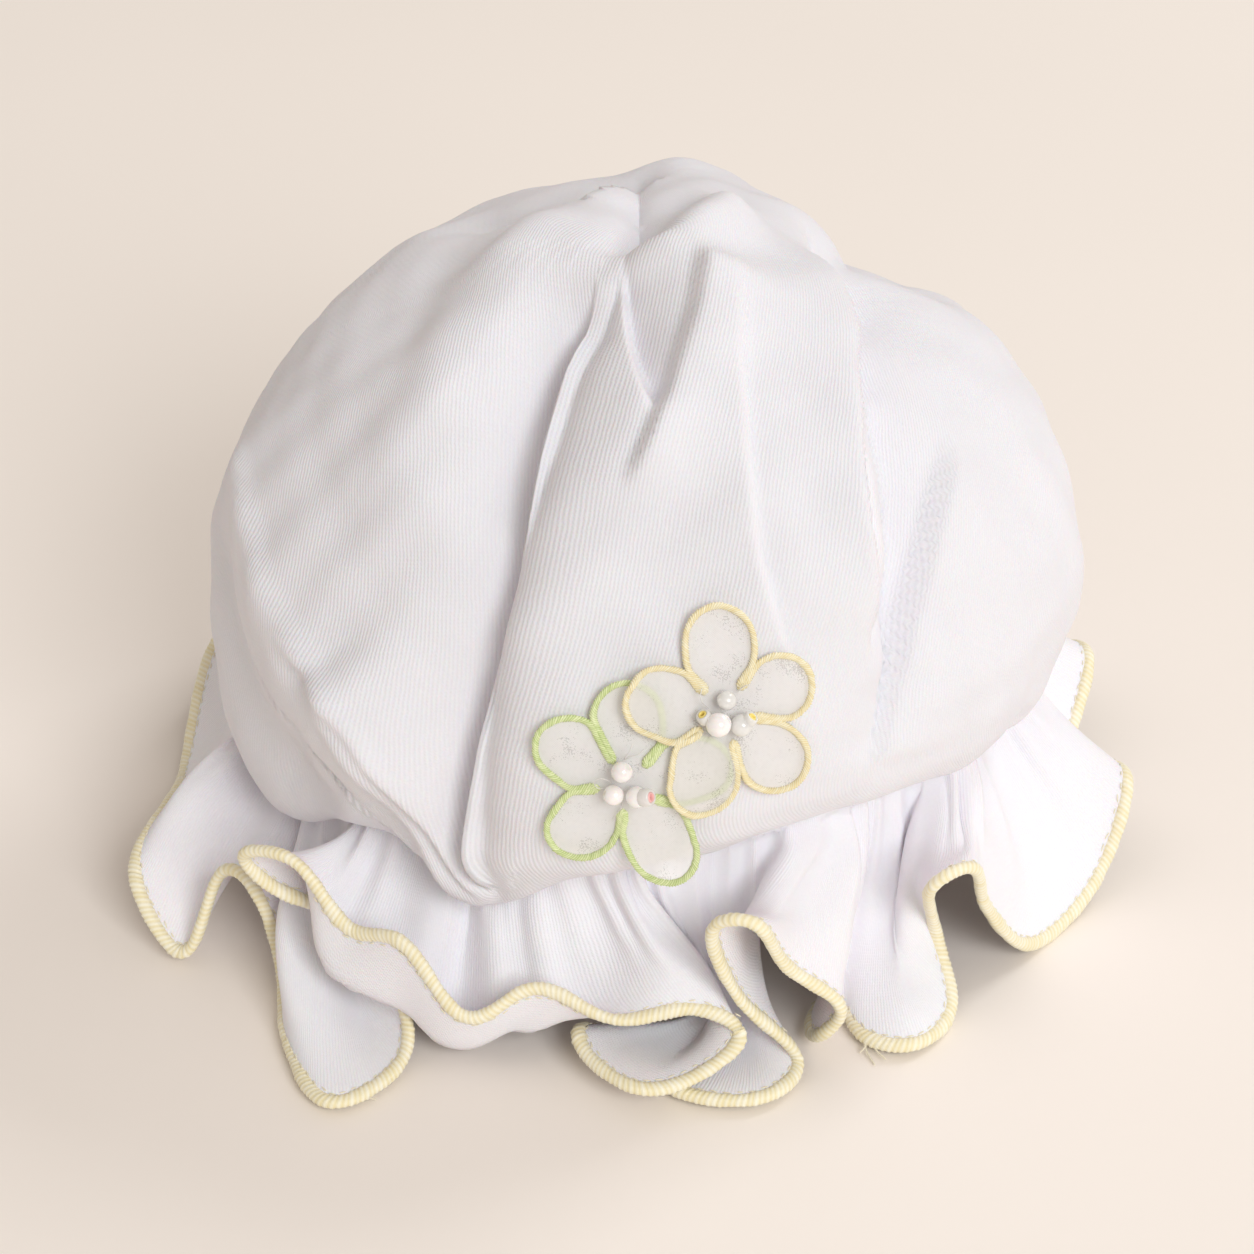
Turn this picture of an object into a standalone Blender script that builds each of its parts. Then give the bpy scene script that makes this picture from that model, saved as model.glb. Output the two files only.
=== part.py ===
# Baby mob cap in cotton jersey: a puffed crown gathered at the neck, a ruffle
# with a thick yellow overlocked hem, and two organza flowers with satin-stitch
# outlines and pearls. It stands on its ruffle. Metres, +Z up, front towards -Y.

import math

import bmesh
import bpy
import numpy as np
from mathutils import Vector
from mathutils.bvhtree import BVHTree

# Crown
crown_radius = 0.0672
crown_height = 0.107
equator_height = 0.042
neck_radius = 0.054
neck_height = 0.032
crown_cloth = 0.0012
crown_columns = 56
crown_rings = 16

# Ruffle and its hem
ruffle_radius = 0.080
ruffle_cloth = 0.0012
hem_diameter = 0.0023
ruffle_columns = 140
ruffle_rings = 5
hem_sides = 6

# Flowers
petal_reach = 0.0150
petal_notch = 0.0072
petal_cloth = 0.0010
outline_diameter = 0.0012
outline_sides = 6
petal_samples = 9
flower_rings = 3
pearl_diameter = 0.0035

# Clearance between neighbouring pieces, and the wider one that bent cloth
# keeps from the crown and from its own hem
gap = 0.0003
cloth_clearance = 0.0007

# Where the ruffle has left its gathers: shares of the way out, down and
# around from neck to middle. Layers that end higher leave further out.
ankle_out = 0.08
ankle_spread = 0.30
ankle_drop = 0.38
ankle_turn = 0.08

# Spacing of the ruffle's columns on a straight hem, and on a bend in radians
column_spacing = 0.006
column_bend = 0.45
column_steps = 8

# Tightest rounding of a fold, and samples along the hem before columns are
# picked
fold_softness = 0.0018
hem_samples = 3000

# Grid on which the crown's underside is read
underside_turns = 120
underside_levels = 18

# Crown profile from the top to the widest ring: share of the crown's radius,
# share of the height between the widest ring and the top.
upper_profile = [
    (0.00, 1.00),
    (0.25, 0.957),
    (0.49, 0.838),
    (0.71, 0.663),
    (0.88, 0.446),
    (0.98, 0.203),
    (1.00, 0.00),
]

# Crown profile from the widest ring to the neck: share of the step from neck
# radius to crown radius, share of the step from neck height to widest height.
lower_profile = [
    (0.80, -0.05),
    (0.38, -0.45),
    (0.00, 0.00),
]

# Folds of the crown. Each runs through three places, given as azimuth in
# degrees (0 is the front, 90 the right side) and share of the way from the
# top to the neck. Depth and the widths on its left and right are shares of
# the crown's radius, a negative depth is a valley. Edge 1 is a crisp line,
# 2 a round one.
crown_folds = [
    # name, az1, v1, az2, v2, az3, v3, depth, left width, right width, edge
    ("main crease", -8, 0.06, -15, 0.36, -20, 0.96, -0.095, 0.20, 0.040, 1),
    ("front panel edge", -6, 0.14, -8, 0.42, -14, 0.90, 0.040, 0.08, 0.13, 2),
    ("top seam", 180, 0.17, 0, 0.00, 0, 0.09, -0.050, 0.06, 0.06, 1),
    ("front rim", 110, 0.12, 16, 0.085, -17, 0.17, 0.055, 0.10, 0.09, 2),
    ("rim shadow", 130, 0.07, 30, 0.035, -24, 0.11, -0.035, 0.07, 0.07, 2),
    ("facet crease", -10, 0.11, -1, 0.18, 6, 0.28, -0.040, 0.05, 0.07, 1),
    ("facet ridge", 36, 0.10, 10, 0.20, -5, 0.36, 0.040, 0.07, 0.12, 2),
    ("front ridge", 58, 0.12, 22, 0.28, 18, 0.60, 0.030, 0.12, 0.10, 2),
    ("right panel edge", 84, 0.16, 46, 0.29, 35, 0.50, 0.050, 0.16, 0.05, 2),
    ("right recess", 125, 0.20, 55, 0.31, 28, 0.78, -0.075, 0.06, 0.15, 1),
    ("right shoulder", 120, 0.28, 88, 0.42, 66, 0.66, 0.045, 0.24, 0.24, 2),
    ("back shoulder dip", 152, 0.31, 126, 0.30, 94, 0.28, -0.095, 0.14, 0.16, 2),
    ("back top ridge", 178, 0.13, 166, 0.20, 154, 0.27, 0.034, 0.09, 0.09, 2),
    ("back left dip", 178, 0.10, -152, 0.14, -116, 0.27, -0.062, 0.14, 0.14, 2),
    ("left top ridge", -110, 0.07, -62, 0.17, -46, 0.36, 0.022, 0.10, 0.10, 2),
    ("left top dip", -140, 0.14, -92, 0.17, -66, 0.32, -0.035, 0.14, 0.12, 2),
    ("left side ridge", -88, 0.40, -56, 0.51, -30, 0.74, 0.045, 0.10, 0.16, 2),
    ("left side dip", -92, 0.56, -62, 0.63, -44, 0.82, -0.055, 0.10, 0.09, 2),
    ("pleat edge", -44, 0.54, -33, 0.66, -23, 0.93, 0.050, 0.05, 0.15, 2),
    ("under pleat", -54, 0.62, -42, 0.72, -33, 0.90, -0.030, 0.08, 0.05, 1),
    ("back crease", 170, 0.25, 160, 0.55, 150, 0.93, -0.060, 0.16, 0.05, 1),
    ("back ridge", -150, 0.25, -146, 0.55, -138, 0.93, 0.040, 0.14, 0.14, 2),
    ("back side crease", -118, 0.30, -122, 0.60, -112, 0.93, -0.045, 0.05, 0.14, 1),
    ("right side crease", 104, 0.52, 98, 0.72, 92, 0.94, -0.035, 0.05, 0.12, 1),
    ("right front pucker", 62, 0.70, 58, 0.82, 56, 0.95, -0.030, 0.05, 0.09, 1),
]

# How far the lower crown hangs below its neck: azimuth, drop as a share of
# the crown's radius, half width in degrees.
crown_sags = [
    ("left side", -67, 0.17, 18),
    ("front pleat", -21, 0.12, 8),
    ("front right lift", 28, -0.14, 30),
    ("back left", -125, 0.07, 30),
]

# Ruffle folds in their order along the cloth. Each column runs from the neck
# through its middle to the hem. Azimuths are in degrees. Radii are shares of
# the step from neck radius to ruffle radius, heights are shares of the neck's
# height. Where the hem is higher than the middle, the edge curls up.
ruffle_folds = [
    # name, neck az, mid az, hem az, mid radius, mid height, hem radius, hem height
    ("left lobe crest", -86, -73, -66, 0.78, 0.50, 1.19, 0.29),
    ("left lobe trough", -79, -66, -58, 0.62, 0.26, 1.08, 0.00),
    ("left inner crest", -74, -63, -58, 0.46, 0.30, 0.76, 0.46),
    ("left inner fold", -71, -58, -54, 0.40, 0.26, 0.68, 0.38),
    ("left inner trough", -68, -50.5, -50, 0.36, 0.09, 0.66, 0.06),
    ("column left", -64, -47, -39, 0.74, 0.30, 1.08, 0.00),
    ("column foot", -60, -41, -30, 0.66, 0.14, 1.33, 0.00),
    ("column right", -57, -36.5, -27, 0.60, 0.04, 0.82, 0.02),
    ("column return right", -54, -36.5, -31, 0.36, 0.25, 0.57, 0.20),
    ("column return", -51.5, -41.5, -41, 0.36, 0.44, 0.50, 0.42),
    ("curl corner low", -50, -46, -47.5, 0.46, 0.54, 0.76, 0.60),
    ("curl corner", -48.5, -48, -49.5, 0.56, 0.68, 0.88, 0.80),
    ("curl top", -46, -44.5, -43, 0.60, 0.74, 0.76, 0.87),
    ("curl first dip", -41, -38, -36, 0.80, 0.36, 0.68, 0.54),
    ("curl second top", -36, -31, -29, 0.74, 0.24, 0.67, 0.61),
    ("curl second dip", -29, -23, -20, 0.68, 0.06, 0.70, 0.26),
    ("curl third top", -22, -15, -13, 0.54, 0.10, 0.50, 0.40),
    ("curl end", -13, -5.5, -3, 0.40, 0.24, 0.55, 0.27),
    ("tunnel roof", -4, 4.0, 7, 0.42, 0.44, 0.51, 0.31),
    ("tunnel turn", -1, 10, 12.5, 0.36, 0.38, 0.62, 0.20),
    ("tunnel floor right", 2, 9.5, 6, 0.34, 0.20, 0.78, 0.08),
    ("tunnel floor", 5.5, 8.5, 0, 0.31, 0.15, 0.86, 0.08),
    ("tunnel end", 8.5, 8, -7, 0.27, 0.11, 0.56, 0.09),
    ("tunnel back", 10, 8, -8, 0.24, 0.10, 0.42, 0.12),
    ("under tunnel left", 11.5, 9.5, -6, 0.20, 0.05, 0.28, 0.00),
    ("under tunnel", 13, 11, -2, 0.23, 0.05, 0.42, 0.00),
    ("front foot left", 14.5, 13, 5, 0.32, 0.04, 0.80, 0.00),
    ("front foot", 16, 15, 13.5, 0.46, 0.06, 0.90, 0.00),
    ("front foot turn", 18, 17.5, 19, 0.42, 0.15, 0.70, 0.02),
    ("front crest side", 21, 14, 12, 0.40, 0.47, 0.55, 0.38),
    ("front crest left", 24.5, 15, 8.5, 0.42, 0.78, 0.62, 0.88),
    ("front crest right", 28, 18, 12.5, 0.44, 0.80, 0.72, 0.94),
    ("front crest slope", 31.5, 22, 17.5, 0.40, 0.64, 0.62, 0.56),
    ("front crest low", 35, 27, 24.5, 0.40, 0.44, 0.68, 0.26),
    ("valley turn", 37.5, 27.5, 22, 0.34, 0.26, 0.56, 0.03),
    ("valley back left", 39.5, 29, 25, 0.20, 0.16, 0.30, 0.00),
    ("valley back right", 41, 31, 29, 0.20, 0.16, 0.32, 0.00),
    ("right foot left", 42.5, 32, 28, 0.36, 0.16, 0.62, 0.00),
    ("right foot", 45, 35, 32, 0.48, 0.20, 0.83, 0.00),
    ("right foot turn", 48, 37, 40, 0.44, 0.24, 0.72, 0.00),
    ("right crest side", 51, 41, 42, 0.34, 0.48, 0.46, 0.33),
    ("right crest left", 54.5, 43.5, 36.5, 0.42, 0.75, 0.68, 0.82),
    ("right crest right", 58, 49, 41.5, 0.42, 0.78, 0.72, 0.84),
    ("right crest slope", 63, 52, 47, 0.42, 0.60, 0.64, 0.44),
    ("right trough", 68, 60, 56, 0.44, 0.36, 0.72, 0.00),
    ("right side", 80, 73, 70, 0.48, 0.42, 0.88, 0.06),
    ("right lobe crest", 92, 84, 80, 0.52, 0.62, 0.96, 0.42),
    ("right back dip", 102, 96, 92, 0.42, 0.40, 0.66, 0.12),
    ("back right crest", 116, 108, 104, 0.50, 0.64, 0.92, 0.48),
    ("back right trough", 130, 125, 122, 0.46, 0.34, 0.84, 0.00),
    ("back crest 1", 146, 143, 142, 0.44, 0.62, 0.74, 0.46),
    ("back trough 1", 162, 161, 160, 0.48, 0.34, 0.90, 0.00),
    ("back crest 2", 178, 178, 178, 0.46, 0.64, 0.78, 0.50),
    ("back trough 2", 194, 196, 197, 0.48, 0.34, 0.88, 0.00),
    ("back crest 3", 210, 213, 214, 0.44, 0.60, 0.72, 0.44),
    ("back trough 3", 226, 230, 232, 0.46, 0.34, 0.86, 0.00),
    ("back left crest", 242, 247, 250, 0.50, 0.56, 0.84, 0.42),
    ("left back trough", 256, 264, 268, 0.48, 0.32, 0.82, 0.04),
    ("left back crest", 266, 275, 280, 0.46, 0.42, 0.80, 0.30),
]

# Flowers: place of the centre on the crown, and the turn of the first petal.
flowers = [
    # name, azimuth, share from top to neck, first petal's angle, petal colour
    ("green", -1.5, 0.600, 82, (0.93, 0.95, 0.90), (0.55, 0.70, 0.22)),
    ("yellow", 10.5, 0.525, 90, (0.96, 0.95, 0.88), (0.90, 0.72, 0.30)),
]

# Pearls of each flower: offset right and up from its centre as shares of the
# pearl's diameter.
pearl_places = {
    "green": [(-0.58, -0.10), (0.48, -0.34), (-0.08, 0.82)],
    "yellow": [(-0.46, -0.26), (0.64, -0.30), (0.12, 0.74)],
}

petal_count = 5
crown_stations = len(upper_profile) + len(lower_profile)


def make_material(name, colour, roughness):
    material = bpy.data.materials.new(name)
    material.use_nodes = True
    shader = material.node_tree.nodes["Principled BSDF"]
    shader.inputs["Base Color"].default_value = (*colour, 1.0)
    shader.inputs["Roughness"].default_value = roughness
    shader.inputs["Metallic"].default_value = 0.0
    return material


def add_object(name, mesh, material):
    mesh.materials.append(material)
    mesh.shade_smooth()
    piece = bpy.data.objects.new(name, mesh)
    bpy.context.scene.collection.objects.link(piece)
    return piece


def smooth_step(x):
    x = np.clip(x, 0.0, 1.0)
    return x * x * (3.0 - 2.0 * x)


def profile_points():
    points = []
    for radius, height in upper_profile:
        z = equator_height + height * (crown_height - equator_height)
        points.append((radius * crown_radius, z))
    for radius, height in lower_profile:
        r = neck_radius + radius * (crown_radius - neck_radius)
        points.append((r, neck_height + height * (equator_height - neck_height)))
    return np.array(points)


def base_profile(v):
    """Radius and height of the unfolded crown, v from 0 (top) to 1 (neck)."""
    points = profile_points()
    last = len(points) - 1
    x = np.clip(v, 0.0, 1.0) * last
    i = np.minimum(x.astype(int), last - 1)
    t = (x - i)[..., None]
    p1, p2 = points[i], points[i + 1]
    before = points[np.maximum(i - 1, 0)]
    after = points[np.minimum(i + 2, last)]
    m1 = (p2 - before) / 2.0
    m2 = (after - p1) / 2.0
    top = (i == 0)[..., None]
    flat = np.stack([p2[..., 0] - p1[..., 0], np.zeros(i.shape)], axis=-1)
    m1 = np.where(top, flat, m1)
    q = ((2 * t**3 - 3 * t**2 + 1) * p1 + (t**3 - 2 * t**2 + t) * m1
         + (3 * t**2 - 2 * t**3) * p2 + (t**3 - t**2) * m2)
    return q[..., 0], q[..., 1]


def base_point(azimuth, v):
    r, z = base_profile(v)
    return np.stack([r * np.sin(azimuth), -r * np.cos(azimuth), z], axis=-1)


def base_normal(azimuth, v):
    step = 0.01
    r0, z0 = base_profile(np.clip(v - step, 0.0, 1.0))
    r1, z1 = base_profile(np.clip(v + step, 0.0, 1.0))
    dr, dz = r1 - r0, z1 - z0
    length = np.hypot(dr, dz)
    outward, upward = -dz / length, dr / length
    outward = np.where(v < step, 0.0, outward)
    upward = np.where(v < step, 1.0, upward)
    return np.stack([outward * np.sin(azimuth), -outward * np.cos(azimuth), upward], -1)


def fold_path(row, count=25):
    """Places of a fold on the unfolded crown, on a flat chart around the top."""
    chart = []
    for azimuth, v in ((row[1], row[2]), (row[3], row[4]), (row[5], row[6])):
        angle = math.radians(azimuth)
        chart.append((v * math.sin(angle), -v * math.cos(angle)))
    a, b, c = np.array(chart)
    t = np.linspace(0.0, 1.0, count)[:, None]
    bend = 2.0 * b - 0.5 * (a + c)
    flat = (1 - t) ** 2 * a + 2 * t * (1 - t) * bend + t**2 * c
    v = np.hypot(flat[:, 0], flat[:, 1])
    azimuth = np.arctan2(flat[:, 0], -flat[:, 1])
    return base_point(azimuth, v)


def fold_height(row, points, normals):
    """Height that one fold adds at each point, faded at the fold's ends."""
    path = fold_path(row)
    best = np.full(len(points), np.inf)
    side = np.zeros(len(points))
    along = np.zeros(len(points))
    last = len(path) - 1
    for k in range(last):
        a, edge = path[k], path[k + 1] - path[k]
        t = np.clip(((points - a) @ edge) / max(edge @ edge, 1e-12), 0.0, 1.0)
        offset = points - (a + t[:, None] * edge)
        distance = np.linalg.norm(offset, axis=1)
        nearer = distance < best
        best = np.where(nearer, distance, best)
        turn = np.einsum("ij,ij->i", np.cross(np.tile(edge, (len(points), 1)), offset), normals)
        side = np.where(nearer, turn, side)
        along = np.where(nearer, (k + t) / last, along)
    depth, left, right, edge_kind = (row[7] * crown_radius, row[8] * crown_radius,
                                     row[9] * crown_radius, row[10])
    width = np.where(side < 0.0, left, right)
    fade = smooth_step(along / 0.22) * smooth_step((1.0 - along) / 0.22)
    return depth * fade * np.exp(-((best / width) ** edge_kind))


def sag_drop(azimuth):
    """How far the lower crown hangs below its unfolded shape."""
    drop = np.zeros(np.shape(azimuth))
    for name, centre, depth, width in crown_sags:
        turn = np.angle(np.exp(1j * (azimuth - math.radians(centre))))
        drop = drop + depth * crown_radius * np.exp(-((turn / math.radians(width)) ** 2))
    return drop


def crown_points(azimuth, v):
    """Outer surface of the crown with its folds."""
    points = base_point(azimuth, v)
    normals = base_normal(azimuth, v)
    height = np.zeros(len(points))
    for row in crown_folds:
        height += fold_height(row, points, normals)
    height *= 1.0 - smooth_step((v - 0.86) / 0.14)
    points = points + normals * height[:, None]
    sag = sag_drop(azimuth) * smooth_step((v - 0.45) / 0.38) * (1.0 - smooth_step((v - 0.90) / 0.10))
    points[:, 2] -= sag
    return points


def grid_mesh(name, points, columns, rings, close_top):
    """Mesh of a closed band of columns, with an optional pole at the top."""
    mesh = bmesh.new()
    pole = mesh.verts.new(points[0]) if close_top else None
    start = 1 if close_top else 0
    grid = []
    for j in range(rings):
        ring = [mesh.verts.new(points[start + j * columns + i]) for i in range(columns)]
        grid.append(ring)
    for i in range(columns):
        k = (i + 1) % columns
        if pole is not None:
            mesh.faces.new((pole, grid[0][i], grid[0][k]))
        for j in range(rings - 1):
            mesh.faces.new((grid[j][i], grid[j + 1][i], grid[j + 1][k], grid[j][k]))
    mesh.normal_update()
    data = bpy.data.meshes.new(name)
    mesh.to_mesh(data)
    mesh.free()
    return data


def crown_azimuth(turn, v):
    """Azimuth of a column of the mesh. Columns stand closer together at the
    front, where the folds are finer, and lean along the main crease there."""
    crease = crown_folds[0]
    lean = np.interp(v, [crease[2], crease[4], crease[6]], [crease[1], crease[3], crease[5]])
    front = np.cos(turn / 2.0) ** 4
    return turn - 0.38 * np.sin(turn) + np.radians(lean) * front


def make_crown():
    turns = np.arange(crown_columns) / crown_columns * 2.0 * math.pi
    levels = np.linspace(0.0, 1.0, crown_rings + 1)[1:]
    v = np.concatenate([[0.0], np.repeat(levels, crown_columns)])
    turn = np.concatenate([[0.0], np.tile(turns, crown_rings)])
    points = crown_points(crown_azimuth(turn, v), v)
    mesh = grid_mesh("crown", points, crown_columns, crown_rings, True)
    crown = add_object("crown", mesh, make_material("jersey", (0.80, 0.78, 0.83), 0.85))
    wall = crown.modifiers.new("cloth", "SOLIDIFY")
    wall.thickness = crown_cloth
    wall.offset = -1.0
    wall.use_even_offset = True
    return crown


def spline_through(values, knots, samples):
    """Closed smooth curve through the rows, knots include the closing one."""
    count = len(values)
    spans = np.diff(knots)
    index = np.clip(np.searchsorted(knots, samples, side="right") - 1, 0, count - 1)
    t = ((samples - knots[index]) / spans[index])
    if values.ndim > 1:
        t = t[:, None]
        width = spans[:, None]
    else:
        width = spans
    after = np.roll(values, -1, axis=0)
    slope = (after - values) / width
    before = np.roll(slope, 1, axis=0)
    width_before = np.roll(width, 1, axis=0)
    tangent = (before * width + slope * width_before) / (width + width_before)
    nxt = (index + 1) % count
    w = width[index]
    p1, p2 = values[index], after[index]
    return ((2 * t**3 - 3 * t**2 + 1) * p1 + (t**3 - 2 * t**2 + t) * w * tangent[index]
            + (3 * t**2 - 2 * t**3) * p2 + (t**3 - t**2) * w * tangent[nxt])


def polar(azimuth, radius, height):
    return np.stack([radius * np.sin(azimuth), -radius * np.cos(azimuth), height], axis=-1)


def ruffle_rows():
    """Neck turn, middle and hem of each fold in metres."""
    table = np.array([row[1:] for row in ruffle_folds], dtype=float)
    neck, mid_turn, hem_turn = np.radians(table[:, :3]).T
    step = ruffle_radius - neck_radius
    hem_floor = hem_diameter / 2.0
    mid = polar(mid_turn, neck_radius + table[:, 3] * step,
                ruffle_cloth + table[:, 4] * (neck_height - ruffle_cloth))
    hem = polar(hem_turn, neck_radius + table[:, 5] * step,
                hem_floor + table[:, 6] * (neck_height - hem_floor))
    return neck, mid, hem


def soften(values, spacing):
    """Rounds a closed line sampled at an even spacing, as cloth does."""
    reach = int(3.0 * fold_softness / spacing)
    steps = np.arange(-reach, reach + 1) * spacing / fold_softness
    weights = np.exp(-0.5 * steps**2)
    weights /= weights.sum()
    rounded = np.zeros(values.shape)
    for k, weight in enumerate(weights):
        rounded += weight * np.roll(values, k - reach, axis=0)
    return rounded


def ruffle_controls(count):
    """Neck turn, middle and hem of each column. Columns are spaced by the
    hem's length and stand closer together where it turns."""
    neck, mid, hem = ruffle_rows()
    chords = np.linalg.norm(np.roll(hem, -1, axis=0) - hem, axis=1)
    knots = np.concatenate([[0.0], np.cumsum(np.sqrt(chords))])
    rough = np.linspace(0.0, knots[-1], hem_samples, endpoint=False)
    curve = spline_through(hem, knots, rough)
    lengths = np.linalg.norm(np.roll(curve, -1, axis=0) - curve, axis=1)
    travelled = np.concatenate([[0.0], np.cumsum(lengths)])
    spacing = travelled[-1] / hem_samples
    fine = np.interp(np.arange(hem_samples) * spacing, travelled, np.append(rough, knots[-1]))
    # The neck turns once around, so its curve is an even turn plus a closed
    # remainder.
    even_turn = neck[0] + knots / knots[-1] * 2.0 * math.pi
    rest = spline_through(np.unwrap(neck) - even_turn[:-1], knots, fine)
    turn = soften(rest, spacing) + np.interp(fine, knots, even_turn)
    mid = soften(spline_through(mid, knots, fine), spacing)
    hem = soften(spline_through(hem, knots, fine), spacing)
    ahead = np.roll(hem, -1, axis=0) - hem
    lengths = np.linalg.norm(ahead, axis=1)
    ahead /= lengths[:, None]
    bend = np.arccos(np.clip(np.sum(ahead * np.roll(ahead, -1, axis=0), axis=1), -1.0, 1.0))
    cost = np.cumsum(lengths / column_spacing + bend / column_bend)
    pick = np.searchsorted(cost, np.arange(count) / count * cost[-1])
    return turn[pick], mid[pick], hem[pick]


def crown_underside():
    """Radius and height of the lower crown on an even grid of azimuths."""
    turns = np.arange(underside_turns) / underside_turns * 2.0 * math.pi
    levels = np.linspace(0.60, 1.0, underside_levels)
    az = np.repeat(turns, underside_levels)
    points = crown_points(az, np.tile(levels, underside_turns))
    radius = np.hypot(points[:, 0], points[:, 1]).reshape(underside_turns, underside_levels)
    return radius, points[:, 2].reshape(underside_turns, underside_levels)


def crown_bottom(turn):
    """Height of the lowest part of the crown at each azimuth."""
    radius, height = crown_underside()
    place = turn / (2.0 * math.pi) * underside_turns
    return np.interp(place, np.arange(underside_turns), height.min(axis=1), period=underside_turns)


def clear_of_crown(points, clearance):
    """Pushes cloth out of the crown's lower bulge, seen in each point's own
    upright plane."""
    grid_radius, grid_height = crown_underside()
    radius = np.hypot(points[:, 0], points[:, 1])
    turn = np.arctan2(points[:, 0], -points[:, 1])
    place = (turn / (2.0 * math.pi) % 1.0) * underside_turns
    i = place.astype(int) % underside_turns
    t = (place - np.floor(place))[:, None]
    k = (i + 1) % underside_turns
    line_r = grid_radius[i] * (1 - t) + grid_radius[k] * t
    line_z = grid_height[i] * (1 - t) + grid_height[k] * t
    best = np.full(len(points), np.inf)
    near = np.zeros((len(points), 2))
    outward = np.zeros((len(points), 2))
    here = np.stack([radius, points[:, 2]], axis=1)
    for j in range(underside_levels - 1):
        a = np.stack([line_r[:, j], line_z[:, j]], axis=1)
        edge = np.stack([line_r[:, j + 1], line_z[:, j + 1]], axis=1) - a
        share = np.sum((here - a) * edge, axis=1) / np.sum(edge * edge, axis=1)
        foot = a + np.clip(share, 0.0, 1.0)[:, None] * edge
        distance = np.linalg.norm(here - foot, axis=1)
        nearer = distance < best
        best = np.where(nearer, distance, best)
        near = np.where(nearer[:, None], foot, near)
        normal = np.stack([-edge[:, 1], edge[:, 0]], axis=1)
        normal /= np.linalg.norm(normal, axis=1)[:, None]
        outward = np.where(nearer[:, None], normal, outward)
    depth = np.sum((here - near) * outward, axis=1)
    short = depth < clearance
    moved = near + outward * clearance
    radius = np.where(short, moved[:, 0], radius)
    height = np.where(short, moved[:, 1], points[:, 2])
    return polar(turn, radius, height)


def ruffle_points(count, levels):
    """Middle surface of the ruffle, levels from 0 (neck) to 1 (hem)."""
    turn, mid, hem = ruffle_controls(count)
    top_radius = neck_radius - ruffle_cloth / 2.0 - gap
    top = polar(turn, np.full(count, top_radius), np.full(count, neck_height - gap))
    # Cloth first runs down beside the head, below the crown's bulge.
    toward_mid = np.angle(np.exp(1j * (np.arctan2(mid[:, 0], -mid[:, 1]) - turn)))
    out = np.hypot(mid[:, 0], mid[:, 1]) - top_radius
    clearance = ruffle_cloth / 2.0 + cloth_clearance
    ankle_turns = turn + ankle_turn * toward_mid
    ankle_height = neck_height - ankle_drop * (neck_height - mid[:, 2])
    ankle_height = np.minimum(ankle_height, crown_bottom(ankle_turns) - clearance)
    ankle_share = ankle_out + ankle_spread * mid[:, 2] / neck_height
    ankle = polar(ankle_turns, top_radius + ankle_share * out, ankle_height)
    stations = np.stack([top, ankle, mid, hem])
    spans = np.linalg.norm(np.diff(stations, axis=0), axis=2) ** 0.75
    slopes = np.diff(stations, axis=0) / spans[..., None]
    tangents = [slopes[0]]
    for k in (1, 2):
        w0, w1 = spans[k - 1][:, None], spans[k][:, None]
        tangents.append((slopes[k - 1] * w1 + slopes[k] * w0) / (w0 + w1))
    tangents.append(slopes[2])
    fine = []
    steps = np.linspace(0.0, 1.0, column_steps + 1)
    for k in range(3):
        for t in steps[:-1] if k < 2 else steps:
            w = spans[k][:, None]
            fine.append((2 * t**3 - 3 * t**2 + 1) * stations[k]
                        + (t**3 - 2 * t**2 + t) * w * tangents[k]
                        + (3 * t**2 - 2 * t**3) * stations[k + 1]
                        + (t**3 - t**2) * w * tangents[k + 1])
    fine = np.array(fine)
    for j in range(1, len(fine) - 1):
        fine[j] = clear_of_crown(fine[j], clearance)
    # Each column ends where both of its faces clear the hem's thread.
    across = np.roll(fine, -1, axis=1) - np.roll(fine, 1, axis=1)
    normal = np.cross(across, np.gradient(fine, axis=0))
    normal *= ruffle_cloth / 2.0 / np.linalg.norm(normal, axis=2)[..., None]
    distance = np.full(fine.shape[:2], np.inf)
    for k in range(-4, 4):
        start = np.roll(hem, -k, axis=0)
        run = np.roll(hem, -k - 1, axis=0) - start
        for face in (fine - normal, fine, fine + normal):
            share = np.sum((face - start) * run, axis=2) / np.sum(run * run, axis=1)
            foot = start + np.clip(share, 0.0, 1.0)[..., None] * run
            distance = np.minimum(distance, np.linalg.norm(face - foot, axis=2))
    lengths = np.linalg.norm(np.diff(fine, axis=0), axis=2)
    travelled = np.concatenate([np.zeros((1, count)), np.cumsum(lengths, axis=0)])
    edge = hem_diameter / 2.0 + cloth_clearance
    rings = np.zeros((len(levels), count, 3))
    for i in range(count):
        outside = np.nonzero(distance[:, i] > edge)[0][-1]
        last = min(outside + 1, len(fine) - 1)
        d0, d1 = distance[outside, i], distance[last, i]
        share = (d0 - edge) / max(d0 - d1, 1e-9)
        end = travelled[outside, i] + share * (travelled[last, i] - travelled[outside, i])
        for axis in range(3):
            rings[:, i, axis] = np.interp(np.array(levels) * end, travelled[:, i], fine[:, i, axis])
    return rings.reshape(-1, 3), hem


def make_ruffle():
    levels = np.linspace(0.0, 1.0, ruffle_rings + 1)
    points, hem = ruffle_points(ruffle_columns, levels)
    mesh = grid_mesh("ruffle", points, ruffle_columns, ruffle_rings + 1, False)
    ruffle = add_object("ruffle", mesh, make_material("ruffle jersey", (0.80, 0.78, 0.83), 0.85))
    wall = ruffle.modifiers.new("cloth", "SOLIDIFY")
    wall.thickness = ruffle_cloth
    wall.offset = 0.0
    return hem


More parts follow.
